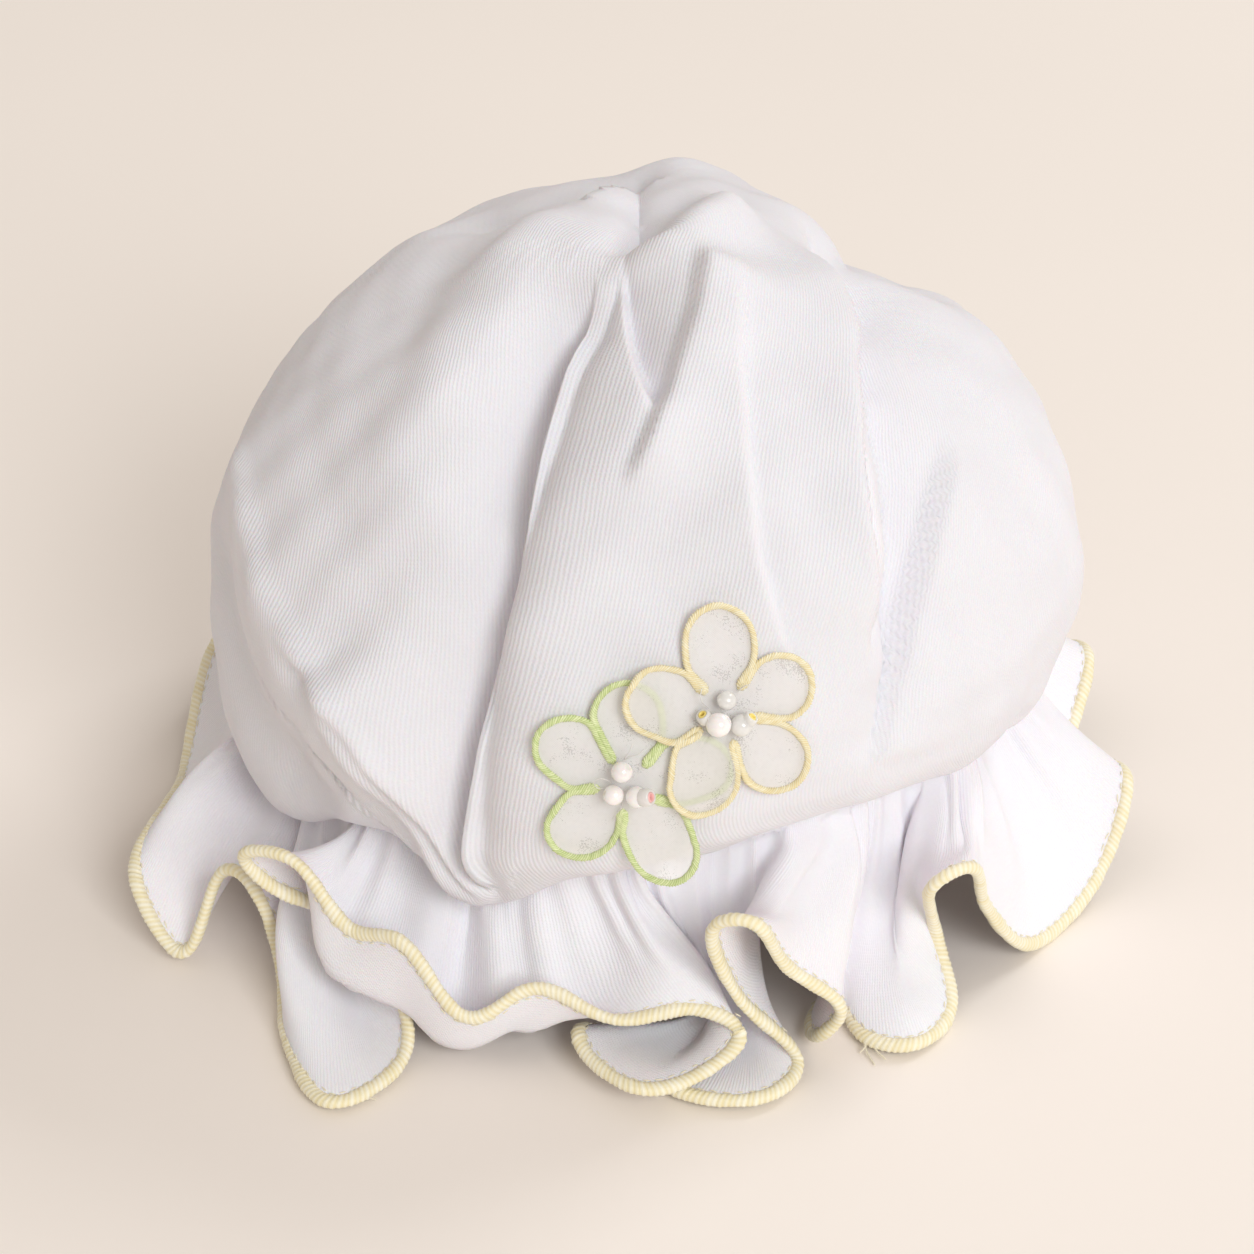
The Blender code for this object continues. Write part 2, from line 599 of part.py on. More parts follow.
def make_tube(name, centres, diameter, sides, material):
    """Closed tube swept along a closed line, with no twist left at the join."""
    count = len(centres)
    ahead = np.roll(centres, -1, axis=0) - np.roll(centres, 1, axis=0)
    ahead /= np.linalg.norm(ahead, axis=1)[:, None]
    frame = np.cross(ahead[0], (0.0, 0.0, 1.0))
    frames = []
    for k in range(count + 1):
        direction = ahead[k % count]
        frame = frame - (frame @ direction) * direction
        frame = frame / np.linalg.norm(frame)
        frames.append(frame)
    other = np.cross(ahead[0], frames[0])
    twist = math.atan2(frames[-1] @ other, frames[-1] @ frames[0])
    radius = diameter / 2.0
    points = []
    for k in range(count):
        side = frames[k]
        up = np.cross(ahead[k], side)
        for s in range(sides):
            angle = 2.0 * math.pi * s / sides - twist * k / count
            points.append(centres[k] + radius * (side * math.cos(angle) + up * math.sin(angle)))
    mesh = bmesh.new()
    verts = [mesh.verts.new(p) for p in points]
    for k in range(count):
        n = (k + 1) % count
        for s in range(sides):
            m = (s + 1) % sides
            mesh.faces.new((verts[k * sides + s], verts[k * sides + m],
                            verts[n * sides + m], verts[n * sides + s]))
    bmesh.ops.recalc_face_normals(mesh, faces=mesh.faces)
    data = bpy.data.meshes.new(name)
    mesh.to_mesh(data)
    mesh.free()
    return add_object(name, data, material)


def flower_radius(angle):
    """Edge of a five-petalled flower, angle measured from a petal's middle."""
    half = math.pi / petal_count
    offset = abs((angle + half) % (2.0 * half) - half) / half
    return petal_notch + (petal_reach - petal_notch) * math.cos(offset * math.pi / 2.0) ** 0.7


class FlowerSeat:
    """Smooth curved sheet that lies on the crown around a flower's centre."""

    def __init__(self, azimuth, v, obstacles):
        turn = np.array([math.radians(azimuth)])
        share = np.array([v])
        self.centre = crown_points(turn, share)[0]
        spread = 0.05
        beside = crown_points(turn + spread, share)[0] - crown_points(turn - spread, share)[0]
        below = crown_points(turn, share + spread)[0] - crown_points(turn, share - spread)[0]
        normal = np.cross(below, beside)
        self.normal = normal / np.linalg.norm(normal)
        right = beside - (beside @ self.normal) * self.normal
        self.right = right / np.linalg.norm(right)
        self.up = np.cross(self.normal, self.right)
        self.fit(obstacles)

    def at(self, x, y, z=0.0):
        return self.centre + self.right * x + self.up * y + self.normal * z

    def height(self, x, y):
        return float(np.dot(self.curve, (1.0, x, y, x * x, x * y, y * y))) + self.lift

    def hit(self, x, y, obstacles):
        reach = 2.0 * petal_reach
        best = None
        for tree in obstacles:
            start = Vector(self.at(x, y, reach))
            place, normal, face, distance = tree.ray_cast(start, Vector(-self.normal), 2.0 * reach)
            if place is not None:
                height = reach - distance
                best = height if best is None else max(best, height)
        return best

    def fit(self, obstacles):
        rows, heights = [], []
        steps = 9
        for i in range(-steps, steps + 1):
            for j in range(-steps, steps + 1):
                x, y = petal_reach * i / steps, petal_reach * j / steps
                if math.hypot(x, y) > petal_reach * 1.05:
                    continue
                height = self.hit(x, y, obstacles)
                if height is None or abs(height) > 0.6 * petal_reach:
                    continue
                rows.append((1.0, x, y, x * x, x * y, y * y))
                heights.append(height)
        rows, heights = np.array(rows), np.array(heights)
        self.curve = np.linalg.lstsq(rows, heights, rcond=None)[0]
        self.lift = float(np.max(heights - rows @ self.curve)) + gap


def tree_of(piece):
    graph = bpy.context.evaluated_depsgraph_get()
    graph.update()
    return BVHTree.FromObject(piece, graph)


def flower_edge(first_angle):
    """Closed line along the middle of a flower's outline, flat."""
    columns = petal_count * petal_samples
    edge = []
    for k in range(columns):
        angle = 2.0 * math.pi * k / columns
        r = flower_radius(angle)
        edge.append((r * math.cos(angle + first_angle), r * math.sin(angle + first_angle)))
    return np.array(edge)


def inset(edge, distance):
    """The same closed line moved inwards by an even distance."""
    ahead = np.roll(edge, -1, axis=0) - edge
    ahead /= np.linalg.norm(ahead, axis=1)[:, None]
    inward = np.stack([-ahead[:, 1], ahead[:, 0]], axis=1)
    before = np.roll(inward, 1, axis=0)
    corner = inward + before
    corner /= np.sum(corner * inward, axis=1)[:, None]
    return edge + corner * distance


def make_petals(name, seat, first_angle, colour):
    """Flat flower-shaped sheet that ends just inside its outline."""
    columns = petal_count * petal_samples
    edge = inset(flower_edge(first_angle), outline_diameter / 2.0 + cloth_clearance)
    level = outline_diameter / 2.0
    points = [seat.at(0.0, 0.0, seat.height(0.0, 0.0) + level)]
    for ring in range(1, flower_rings + 1):
        for x, y in edge * ring / flower_rings:
            points.append(seat.at(x, y, seat.height(x, y) + level))
    mesh = grid_mesh(name, points, columns, flower_rings, True)
    petals = add_object(name, mesh, make_material(name, colour, 0.6))
    wall = petals.modifiers.new("organza", "SOLIDIFY")
    wall.thickness = petal_cloth
    wall.offset = 0.0
    return petals


def make_outline(name, seat, first_angle, colour):
    """Satin-stitched cord around the flower."""
    centres = []
    for x, y in flower_edge(first_angle):
        centres.append(seat.at(x, y, seat.height(x, y) + outline_diameter / 2.0))
    material = make_material(name, colour, 0.5)
    return make_tube(name, np.array(centres), outline_diameter, outline_sides, material)


def make_pearl(name, seat, place):
    x, y = place[0] * pearl_diameter, place[1] * pearl_diameter
    level = (outline_diameter + petal_cloth) / 2.0 + gap + pearl_diameter / 2.0
    mesh = bmesh.new()
    bmesh.ops.create_uvsphere(mesh, u_segments=10, v_segments=6, radius=pearl_diameter / 2.0)
    data = bpy.data.meshes.new(name)
    mesh.to_mesh(data)
    mesh.free()
    pearl = add_object(name, data, make_material(name, (0.95, 0.92, 0.90), 0.2))
    pearl.location = seat.at(x, y, seat.height(x, y) + level)


def make_flower(row, obstacles):
    name, azimuth, v, first_angle, petal_colour, outline_colour = row
    seat = FlowerSeat(azimuth, v, obstacles)
    turn = math.radians(first_angle)
    petals = make_petals(name + "_petals", seat, turn, petal_colour)
    outline = make_outline(name + "_outline", seat, turn, outline_colour)
    for k, place in enumerate(pearl_places[name]):
        make_pearl(f"{name}_pearl_{k + 1}", seat, place)
    return [tree_of(petals), tree_of(outline)]


def centre_on_floor():
    """Moves the whole cap so that its box stands centred on the origin."""
    bpy.context.view_layer.update()
    graph = bpy.context.evaluated_depsgraph_get()
    corners = []
    pieces = [o for o in bpy.context.scene.objects if o.type == "MESH"]
    for piece in pieces:
        shape = piece.evaluated_get(graph).to_mesh()
        corners += [piece.matrix_world @ v.co for v in shape.vertices]
        piece.evaluated_get(graph).to_mesh_clear()
    low = Vector(min(c[k] for c in corners) for k in range(3))
    high = Vector(max(c[k] for c in corners) for k in range(3))
    shift = Vector((-(low.x + high.x) / 2.0, -(low.y + high.y) / 2.0, -low.z))
    for piece in pieces:
        piece.location += shift
    bpy.context.view_layer.update()


def main():
    for piece in list(bpy.data.objects):
        bpy.data.objects.remove(piece, do_unlink=True)
    crown = make_crown()
    hem = make_ruffle()
    hem_material = make_material("overlock thread", (0.93, 0.86, 0.55), 0.6)
    make_tube("ruffle_hem", hem, hem_diameter, hem_sides, hem_material)
    obstacles = [tree_of(crown)]
    for row in flowers:
        obstacles += make_flower(row, obstacles)
    centre_on_floor()


main()
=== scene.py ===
# A baby's mob cap in fine cotton jersey, standing on a pale floor: a puffed
# crown, a ruffle with a yellow overlocked edge, and two organza flowers with
# beads. Lengths are in metres, the front looks towards -Y.

import math
import random

import bmesh
import bpy
import numpy as np
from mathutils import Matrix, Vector
from mathutils.bvhtree import BVHTree


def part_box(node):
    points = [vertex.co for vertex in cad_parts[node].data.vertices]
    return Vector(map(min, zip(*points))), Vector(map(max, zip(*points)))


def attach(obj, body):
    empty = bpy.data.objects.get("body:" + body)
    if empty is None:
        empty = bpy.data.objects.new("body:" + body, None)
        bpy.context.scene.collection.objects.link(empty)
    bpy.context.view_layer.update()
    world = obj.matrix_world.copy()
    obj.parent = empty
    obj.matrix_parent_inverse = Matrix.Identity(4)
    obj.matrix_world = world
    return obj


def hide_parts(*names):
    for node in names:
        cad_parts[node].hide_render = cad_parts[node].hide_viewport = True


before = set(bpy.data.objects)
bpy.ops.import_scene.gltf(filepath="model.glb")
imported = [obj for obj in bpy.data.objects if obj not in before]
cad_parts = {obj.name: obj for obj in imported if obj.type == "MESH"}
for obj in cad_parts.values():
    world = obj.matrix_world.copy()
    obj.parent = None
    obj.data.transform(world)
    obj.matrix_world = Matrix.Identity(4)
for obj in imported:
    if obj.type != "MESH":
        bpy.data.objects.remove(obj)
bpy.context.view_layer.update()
print("frame loaded, nodes:", len(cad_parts))

fullTurn = 2.0 * math.pi


# Places and lines

def smoothStep(x):
    x = np.clip(x, 0.0, 1.0)
    return x * x * (3.0 - 2.0 * x)


def smoothFrom(x, start, length):
    # Grows from 0 at the start to 1 a length further on
    return smoothStep((x - start) / length)


def lengthOf(vectors):
    return np.linalg.norm(vectors, axis=-1)


def unit(vectors):
    return vectors / lengthOf(vectors)[..., None]


def polar(azimuth, radius, height):
    # Azimuth 0 is the front, and it grows towards the right
    return np.stack([radius * np.sin(azimuth), -radius * np.cos(azimuth), height], axis=-1)


def flatPolar(points):
    return np.arctan2(points[:, 0], -points[:, 1]), np.hypot(points[:, 0], points[:, 1])


def turnBetween(azimuth, other):
    return np.angle(np.exp(1j * (azimuth - other)))


def roundSteps(points):
    # From each point of a closed line to the next one
    return np.roll(points, -1, axis=0) - points


def runningSum(lengths):
    return np.concatenate([[0.0], np.cumsum(lengths)])


def readLine(values, distance, where, total=None):
    # Reads a line at any distance along it. A closed line has a total length.
    return np.stack([np.interp(where, distance, column, period=total) for column in values.T],
                    axis=-1)


def hermite(t, start, end, leaving, arriving):
    # A curve from start to end with the given slopes
    return ((2 * t**3 - 3 * t**2 + 1) * start + (t**3 - 2 * t**2 + t) * leaving
            + (3 * t**2 - 2 * t**3) * end + (t**3 - t**2) * arriving)


def splineThrough(values, knots, samples):
    # A smooth closed curve through the values, read at the samples
    count = len(values)
    width = np.diff(knots)
    index = np.clip(np.searchsorted(knots, samples, side="right") - 1, 0, count - 1)
    t = (samples - knots[index]) / width[index]
    if values.ndim > 1:
        t, width = t[:, None], width[:, None]
    slope = roundSteps(values) / width
    before, widthBefore = np.roll(slope, 1, axis=0), np.roll(width, 1, axis=0)
    tangent = (before * width + slope * widthBefore) / (width + widthBefore)
    after, w = (index + 1) % count, width[index]
    return hermite(t, values[index], values[after], w * tangent[index], w * tangent[after])


# Meshes and pieces

def startGrid(columns, rings):
    # A unit grid: x is the share along, y the share across
    mesh = bmesh.new()
    mesh.loops.layers.uv.new("cloth")
    bmesh.ops.create_grid(mesh, x_segments=columns, y_segments=rings, size=0.5)
    places = np.array([v.co for v in mesh.verts]) + 0.5
    return mesh, places[:, 0], places[:, 1]


def placeGrid(mesh, points, u, v):
    layer = mesh.loops.layers.uv.active
    for vert, point in zip(mesh.verts, points):
        vert.co = point
    mesh.verts.index_update()
    for face in mesh.faces:
        for loop in face.loops:
            loop[layer].uv = (u[loop.vert.index], v[loop.vert.index])


def closeGrid(mesh):
    # Welds the seam and the poles
    bmesh.ops.remove_doubles(mesh, verts=mesh.verts, dist=1e-6)


def turnedTo(axis, middle):
    turned = Vector(axis).to_track_quat("Z", "Y").to_matrix().to_4x4()
    turned.translation = Vector(middle)
    return turned


def meshData(name, mesh, materials):
    data = bpy.data.meshes.new(name)
    mesh.to_mesh(data)
    mesh.free()
    for material in materials:
        data.materials.append(material)
    return data


def addObject(name, data):
    made = bpy.data.objects.new(name, data)
    bpy.context.scene.collection.objects.link(made)
    return made


def addPiece(name, mesh, materials, slotName, replaced=()):
    mesh.loops.layers.uv.verify()
    bmesh.ops.recalc_face_normals(mesh, faces=mesh.faces)
    for face in mesh.faces:
        face.smooth = True
    piece = addObject(name, meshData(name, mesh, materials))
    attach(piece, "root")
    if replaced:
        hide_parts(*replaced)
    return piece


def addWall(piece, thickness, offset):
    wall = piece.modifiers.new("cloth", "SOLIDIFY")
    wall.thickness = thickness
    wall.offset = offset
    wall.material_offset = 1
    wall.material_offset_rim = 1


def clothArea(piece):
    return sum(face.area for face in piece.data.polygons)


def treeOf(*pieces):
    graph = bpy.context.evaluated_depsgraph_get()
    graph.update()
    return [BVHTree.FromObject(piece, graph) for piece in pieces]


# Materials

class NodeNumber:
    # A value in a shader tree, whose sums and products become math nodes

    def __init__(self, tree, socket):
        self.tree, self.socket = tree, socket

    def math(self, operation, *others):
        node = self.tree.nodes.new("ShaderNodeMath")
        node.operation = operation
        for place, value in zip(node.inputs, (self, *others)):
            if isinstance(value, NodeNumber):
                self.tree.links.new(value.socket, place)
            else:
                place.default_value = value
        return NodeNumber(self.tree, node.outputs[0])

    def __add__(self, other):
        return self.math("ADD", other)

    def __sub__(self, other):
        return self.math("SUBTRACT", other)

    def __mul__(self, other):
        return self.math("MULTIPLY", other)

    def __truediv__(self, other):
        return self.math("DIVIDE", other)


def newMaterial(name, sockets):
    material = bpy.data.materials.new(name)
    material.use_nodes = True
    tree = material.node_tree
    shader = tree.nodes["Principled BSDF"]
    for socket, value in sockets.items():
        shader.inputs[socket].default_value = value
    return material, tree, shader


def noiseNode(tree, vector, scale, detail=2.0):
    node = tree.nodes.new("ShaderNodeTexNoise")
    node.inputs["Scale"].default_value = scale
    node.inputs["Detail"].default_value = detail
    tree.links.new(vector, node.inputs["Vector"])
    return NodeNumber(tree, node.outputs["Fac"])


def colourRamp(tree, shader, tone, *stops):
    # Base colour between two stops
    node = tree.nodes.new("ShaderNodeValToRGB")
    for element, (place, colour) in zip(node.color_ramp.elements, stops):
        element.position = place
        element.color = (*colour, 1.0)
    tree.links.new(tone.socket, node.inputs["Fac"])
    tree.links.new(node.outputs["Color"], shader.inputs["Base Color"])


def bumpNode(tree, shader, height, strength, distance):
    node = tree.nodes.new("ShaderNodeBump")
    node.inputs["Strength"].default_value = strength
    node.inputs["Distance"].default_value = distance
    tree.links.new(height.socket, node.inputs["Height"])
    tree.links.new(node.outputs["Normal"], shader.inputs["Normal"])


def clothCoordinates(tree):
    coordinates = tree.nodes.new("ShaderNodeTexCoord")
    split = tree.nodes.new("ShaderNodeSeparateXYZ")
    tree.links.new(coordinates.outputs["UV"], split.inputs[0])
    u, v = (NodeNumber(tree, split.outputs[k]) for k in range(2))
    return coordinates.outputs["Object"], u, v


jerseyKnit = {
    "walePitch": 0.00056,
    "coursePitch": 0.00046,
    "ribDepth": 0.00012,
    "highColour": (0.878, 0.848, 0.896),
    "lowColour": (0.760, 0.731, 0.777),
    "wrongColour": (0.940, 0.910, 0.955),
    "wrongLow": (0.850, 0.820, 0.862),
    # The ruffle's jersey is the same cloth painted brighter by this share: painted light
    "rufflePaintedLight": 1.11,
}

jerseySockets = {
    "Roughness": 0.92,
    "Specular IOR Level": 0.25,
    "Sheen Weight": 0.08,
    "Sheen Roughness": 0.45,
    "Subsurface Weight": 0.15,
    "Subsurface Scale": 0.004,
}

organza = {
    "weavePitch": 0.00032,
    "speckLevel": 0.86,
    "sockets": {"Roughness": 0.55, "Specular IOR Level": 0.35, "Alpha": 0.50},
}


def makeJersey(name, share):
    # Right side: columns of small V stitches
    material, tree, shader = newMaterial(name, jerseySockets)
    place, across, along = clothCoordinates(tree)
    sway = noiseNode(tree, place, 420.0) * 0.00030
    wale = (sway + across) / jerseyKnit["walePitch"]
    offset = wale.math("FRACT") - 0.5
    rib = (offset * fullTurn).math("COSINE")
    course = along / jerseyKnit["coursePitch"]
    stitch = ((course + offset.math("ABSOLUTE") * 1.1) * fullTurn).math("SINE")
    knit = stitch * 0.30 + rib
    fuzz = noiseNode(tree, place, 2600.0, 3.0)
    grain = noiseNode(tree, place, 1000.0, 3.0)
    bumpNode(tree, shader, fuzz * 0.9 + (knit + grain * 2.2), 0.30, jerseyKnit["ribDepth"])
    wear = noiseNode(tree, place, 90.0)
    # The knit term paints shade into the rib valleys and light onto the wale crests; fuzz and wear
    # vary the tone at random
    tone = (fuzz - 0.5) * 0.35 + (knit * 0.10 + (wear * 0.5 + 0.42))
    # A share above 1 paints the cloth brighter, as painted light on the ruffle
    low, high = ([share * c for c in jerseyKnit[k]] for k in ("lowColour", "highColour"))
    colourRamp(tree, shader, tone, (0.0, low), (1.0, high))
    return material


def makeWrongSide(name):
    # Wrong side: small purl bumps, so the cloth looks grainy
    sockets = {**jerseySockets, "Roughness": 0.95, "Specular IOR Level": 0.2,
               "Sheen Roughness": 0.5}
    material, tree, shader = newMaterial(name, sockets)
    place, across, along = clothCoordinates(tree)
    sway = (across * (fullTurn / jerseyKnit["walePitch"])).math("SINE") * 1.4
    purl = (along * (fullTurn / jerseyKnit["coursePitch"]) + sway).math("SINE")
    height = noiseNode(tree, place, 1900.0, 3.0) * 1.6 + purl * 0.5
    bumpNode(tree, shader, height, 0.5, jerseyKnit["ribDepth"])
    # Colour follows the height: random grain, and painted shade in the hollows between purl bumps
    colourRamp(tree, shader, height * 0.25 + 0.35,
               (0.0, jerseyKnit["wrongLow"]), (1.0, jerseyKnit["wrongColour"]))
    return material


def makeThread(name, dark, light, roughness, fibre):
    # Wound thread: u counts the turns, and each turn has its own tone. Each turn is painted lighter
    # on its crest as a highlight and darker between turns as shade
    sockets = {"Roughness": roughness, "Specular IOR Level": 0.45,
               "Sheen Weight": 0.2, "Sheen Roughness": 0.4}
    material, tree, shader = newMaterial(name, sockets)
    place, turns, _ = clothCoordinates(tree)
    white = tree.nodes.new("ShaderNodeTexWhiteNoise")
    white.noise_dimensions = "1D"
    tree.links.new(turns.math("FLOOR").socket, white.inputs["W"])
    ownTone = NodeNumber(tree, white.outputs["Value"])
    ridge = ((turns.math("FRACT") - 0.5) * fullTurn).math("COSINE")
    strand = (turns * (fullTurn * fibre)).math("SINE")
    fuzz = noiseNode(tree, place, 3000.0)
    # The ridge term paints a highlight on each turn's crest and shade between turns
    tone = fuzz * 0.25 + (ownTone * 0.45 + (ridge * 0.30 + 0.30) - 0.1)
    colourRamp(tree, shader, tone, (0.0, dark), (1.0, light))
    bumpNode(tree, shader, strand * 0.35 + (ridge * 0.8 + fuzz), 0.5, 0.0001)
    return material


def makeOrganza(name, colour, speck):
    # Sheer woven silk: a thin veil with small specks where its threads cross
    material, tree, shader = newMaterial(name, organza["sockets"])
    place, across, along = clothCoordinates(tree)
    patches = (noiseNode(tree, place, 260.0) - 0.48) * 1.6
    specks = noiseNode(tree, place, 5200.0, 0.0) + patches
    dots = specks.math("GREATER_THAN", organza["speckLevel"])
    warp, weft = ((run * (fullTurn / organza["weavePitch"])).math("SINE")
                  for run in (across, along))
    weave = warp * weft * 0.30 + noiseNode(tree, place, 1500.0)
    colourRamp(tree, shader, weave * 0.35 + 0.72 - dots * 0.5, (0.2, speck), (0.9, colour))
    bumpNode(tree, shader, weave, 0.25, 0.0001)
    return material


def makeGloss(name, colour, sockets):
    # Pearl, glass and nylon, slightly cloudy
    material, tree, shader = newMaterial(name, sockets)
    cloud = noiseNode(tree, clothCoordinates(tree)[0], 700.0)
    pale = [min(1.0, c * 1.04) for c in colour]
    deep = [c * 0.94 for c in colour]
    colourRamp(tree, shader, cloud, (0.35, deep), (0.65, pale))
    return material


jersey = makeJersey("jersey", 1.0)
# The ruffle's copy of the jersey is painted brighter: painted light for the light it catches
ruffleLitJersey = makeJersey("ruffle jersey", jerseyKnit["rufflePaintedLight"])
jerseyWrong = makeWrongSide("jersey wrong side")
# Each thread's light colour is partly a painted highlight, and its dark colour partly painted shade
# between turns
overlockThread = makeThread("overlock thread", (0.89, 0.79, 0.46), (1.00, 0.97, 0.80), 0.38, 4.0)
dashThread = makeThread("dash thread", (0.80, 0.74, 0.55), (0.98, 0.95, 0.85), 0.4, 2.0)
greenSatin = makeThread("green satin", (0.48, 0.62, 0.20), (0.90, 0.97, 0.60), 0.26, 2.0)
yellowSatin = makeThread("yellow satin", (0.86, 0.71, 0.34), (1.00, 0.96, 0.74), 0.26, 2.0)
greenOrganza = makeOrganza("green organza", (0.99, 0.99, 0.96), (0.55, 0.55, 0.52))
yellowOrganza = makeOrganza("yellow organza", (0.99, 0.98, 0.95), (0.55, 0.53, 0.50))
pearlGloss = makeGloss("pearl", (0.95, 0.92, 0.91), {
    "Roughness": 0.14, "Coat Weight": 0.9, "Coat Roughness": 0.05,
    "Subsurface Weight": 0.15, "Subsurface Scale": 0.001})
milkGlass = makeGloss("milk glass", (0.97, 0.96, 0.94), {
    "Roughness": 0.10, "Transmission Weight": 0.22, "IOR": 1.45,
    "Coat Weight": 0.6, "Coat Roughness": 0.05})
goldLining = makeGloss("gold lining", (0.98, 0.80, 0.25), {"Roughness": 0.25})
pinkLining = makeGloss("pink lining", (0.92, 0.52, 0.50), {"Roughness": 0.25})
nylon = makeGloss("nylon", (0.93, 0.92, 0.90), {
    "Roughness": 0.15, "Transmission Weight": 0.4, "IOR": 1.5})
print("materials made")


# Crown: a body of revolution, moved along its normals by folds

crown = {
    "radius": 0.0672,
    "height": 0.107,
    "equator": 0.042,
    "neckRadius": 0.054,
    "neckHeight": 0.032,
    "cloth": 0.0007,
    "columns": 400,
    "rings": 120,
    "flat": (0.25, 0.25),
    "wayDown": 0.125,       # along the cloth, from the top to the neck
    "knitRadius": 0.01344,  # below which the knit's columns close up at the top
    "panelLean": -14.0,     # of the knit left of the panel's edge, in degrees
    "frontPull": 0.38,      # how much closer the columns run at the front
    "foldEnds": 0.22,       # share of a fold over which its end fades
    "lineEnds": 0.16,
    "lineReach": 0.03,
    "lapOver": 0.0026,
    "lapFade": 6.0,         # in millimetres
    "wrinkle": 0.00022,
    "wrinkleWaves": 14,
    "wrinkleLengths": (0.007, 0.022),
    "foldsStop": (0.86, 0.14),      # share of the way down, and over what share
    "sagStarts": (0.45, 0.38),
    "sagStops": (0.90, 0.10),
}

# Share of the radius and of the height above the widest ring
upperProfile = [(0.00, 1.00), (0.25, 0.957), (0.49, 0.838), (0.71, 0.663), (0.88, 0.446),
                (0.98, 0.203), (1.00, 0.00)]

# Share of the step from neck to widest radius, and of the step in height
lowerProfile = [(0.80, -0.05), (0.38, -0.45), (0.00, 0.00)]

# Each fold runs through three places: azimuth in degrees, share of the way
# from top to neck. Depth and widths are shares of the crown's radius, and a
# negative depth is a valley. Edge 1 is crisp, 2 is round.
crownFolds = [
    # name, az1, v1, az2, v2, az3, v3, depth, left width, right width, edge
    ("main crease", -8, 0.06, -15, 0.36, -20, 0.96, -0.100, 0.24, 0.050, 1),
    ("top seam", 180, 0.17, 0, 0.00, 0, 0.09, -0.050, 0.06, 0.06, 1),
    ("front rim", 110, 0.12, 16, 0.085, -17, 0.17, 0.055, 0.10, 0.09, 2),
    ("rim shadow", 130, 0.07, 30, 0.035, -24, 0.11, -0.035, 0.07, 0.07, 2),
    ("facet crease", -10, 0.11, -1, 0.18, 6, 0.28, -0.028, 0.05, 0.08, 1),
    ("facet ridge", 36, 0.10, 10, 0.20, -5, 0.36, 0.040, 0.07, 0.12, 2),
    ("front ridge", 58, 0.12, 22, 0.28, 18, 0.60, 0.030, 0.12, 0.10, 2),
    ("right panel edge", 84, 0.16, 46, 0.29, 35, 0.50, 0.050, 0.16, 0.05, 2),
    ("right recess", 125, 0.20, 55, 0.31, 28, 0.78, -0.090, 0.06, 0.16, 1),
    ("right shoulder", 120, 0.28, 88, 0.42, 66, 0.66, 0.045, 0.24, 0.24, 2),
    ("back shoulder dip", 152, 0.31, 126, 0.30, 94, 0.28, -0.095, 0.14, 0.16, 2),
    ("back top ridge", 178, 0.13, 166, 0.20, 154, 0.27, 0.034, 0.09, 0.09, 2),
    ("back left dip", 178, 0.10, -152, 0.14, -116, 0.27, -0.062, 0.14, 0.14, 2),
    ("left top ridge", -110, 0.07, -62, 0.17, -46, 0.36, 0.022, 0.10, 0.10, 2),
    ("left top dip", -140, 0.14, -92, 0.17, -66, 0.32, -0.035, 0.14, 0.12, 2),
    ("left side ridge", -88, 0.40, -56, 0.51, -30, 0.74, 0.045, 0.10, 0.16, 2),
    ("left side dip", -92, 0.56, -62, 0.63, -44, 0.82, -0.055, 0.10, 0.09, 2),
    ("pleat edge", -44, 0.54, -33, 0.66, -23, 0.93, 0.050, 0.05, 0.15, 2),
    ("under pleat", -54, 0.62, -42, 0.72, -33, 0.90, -0.030, 0.08, 0.05, 1),
    ("back crease", 170, 0.25, 160, 0.55, 150, 0.93, -0.060, 0.16, 0.05, 1),
    ("back ridge", -150, 0.25, -146, 0.55, -138, 0.93, 0.040, 0.14, 0.14, 2),
    ("back side crease", -118, 0.30, -122, 0.60, -112, 0.93, -0.045, 0.05, 0.14, 1),
    ("right side crease", 104, 0.52, 98, 0.72, 92, 0.94, -0.035, 0.05, 0.12, 1),
    ("right front pucker", 62, 0.70, 58, 0.82, 56, 0.95, -0.030, 0.05, 0.09, 1),
]

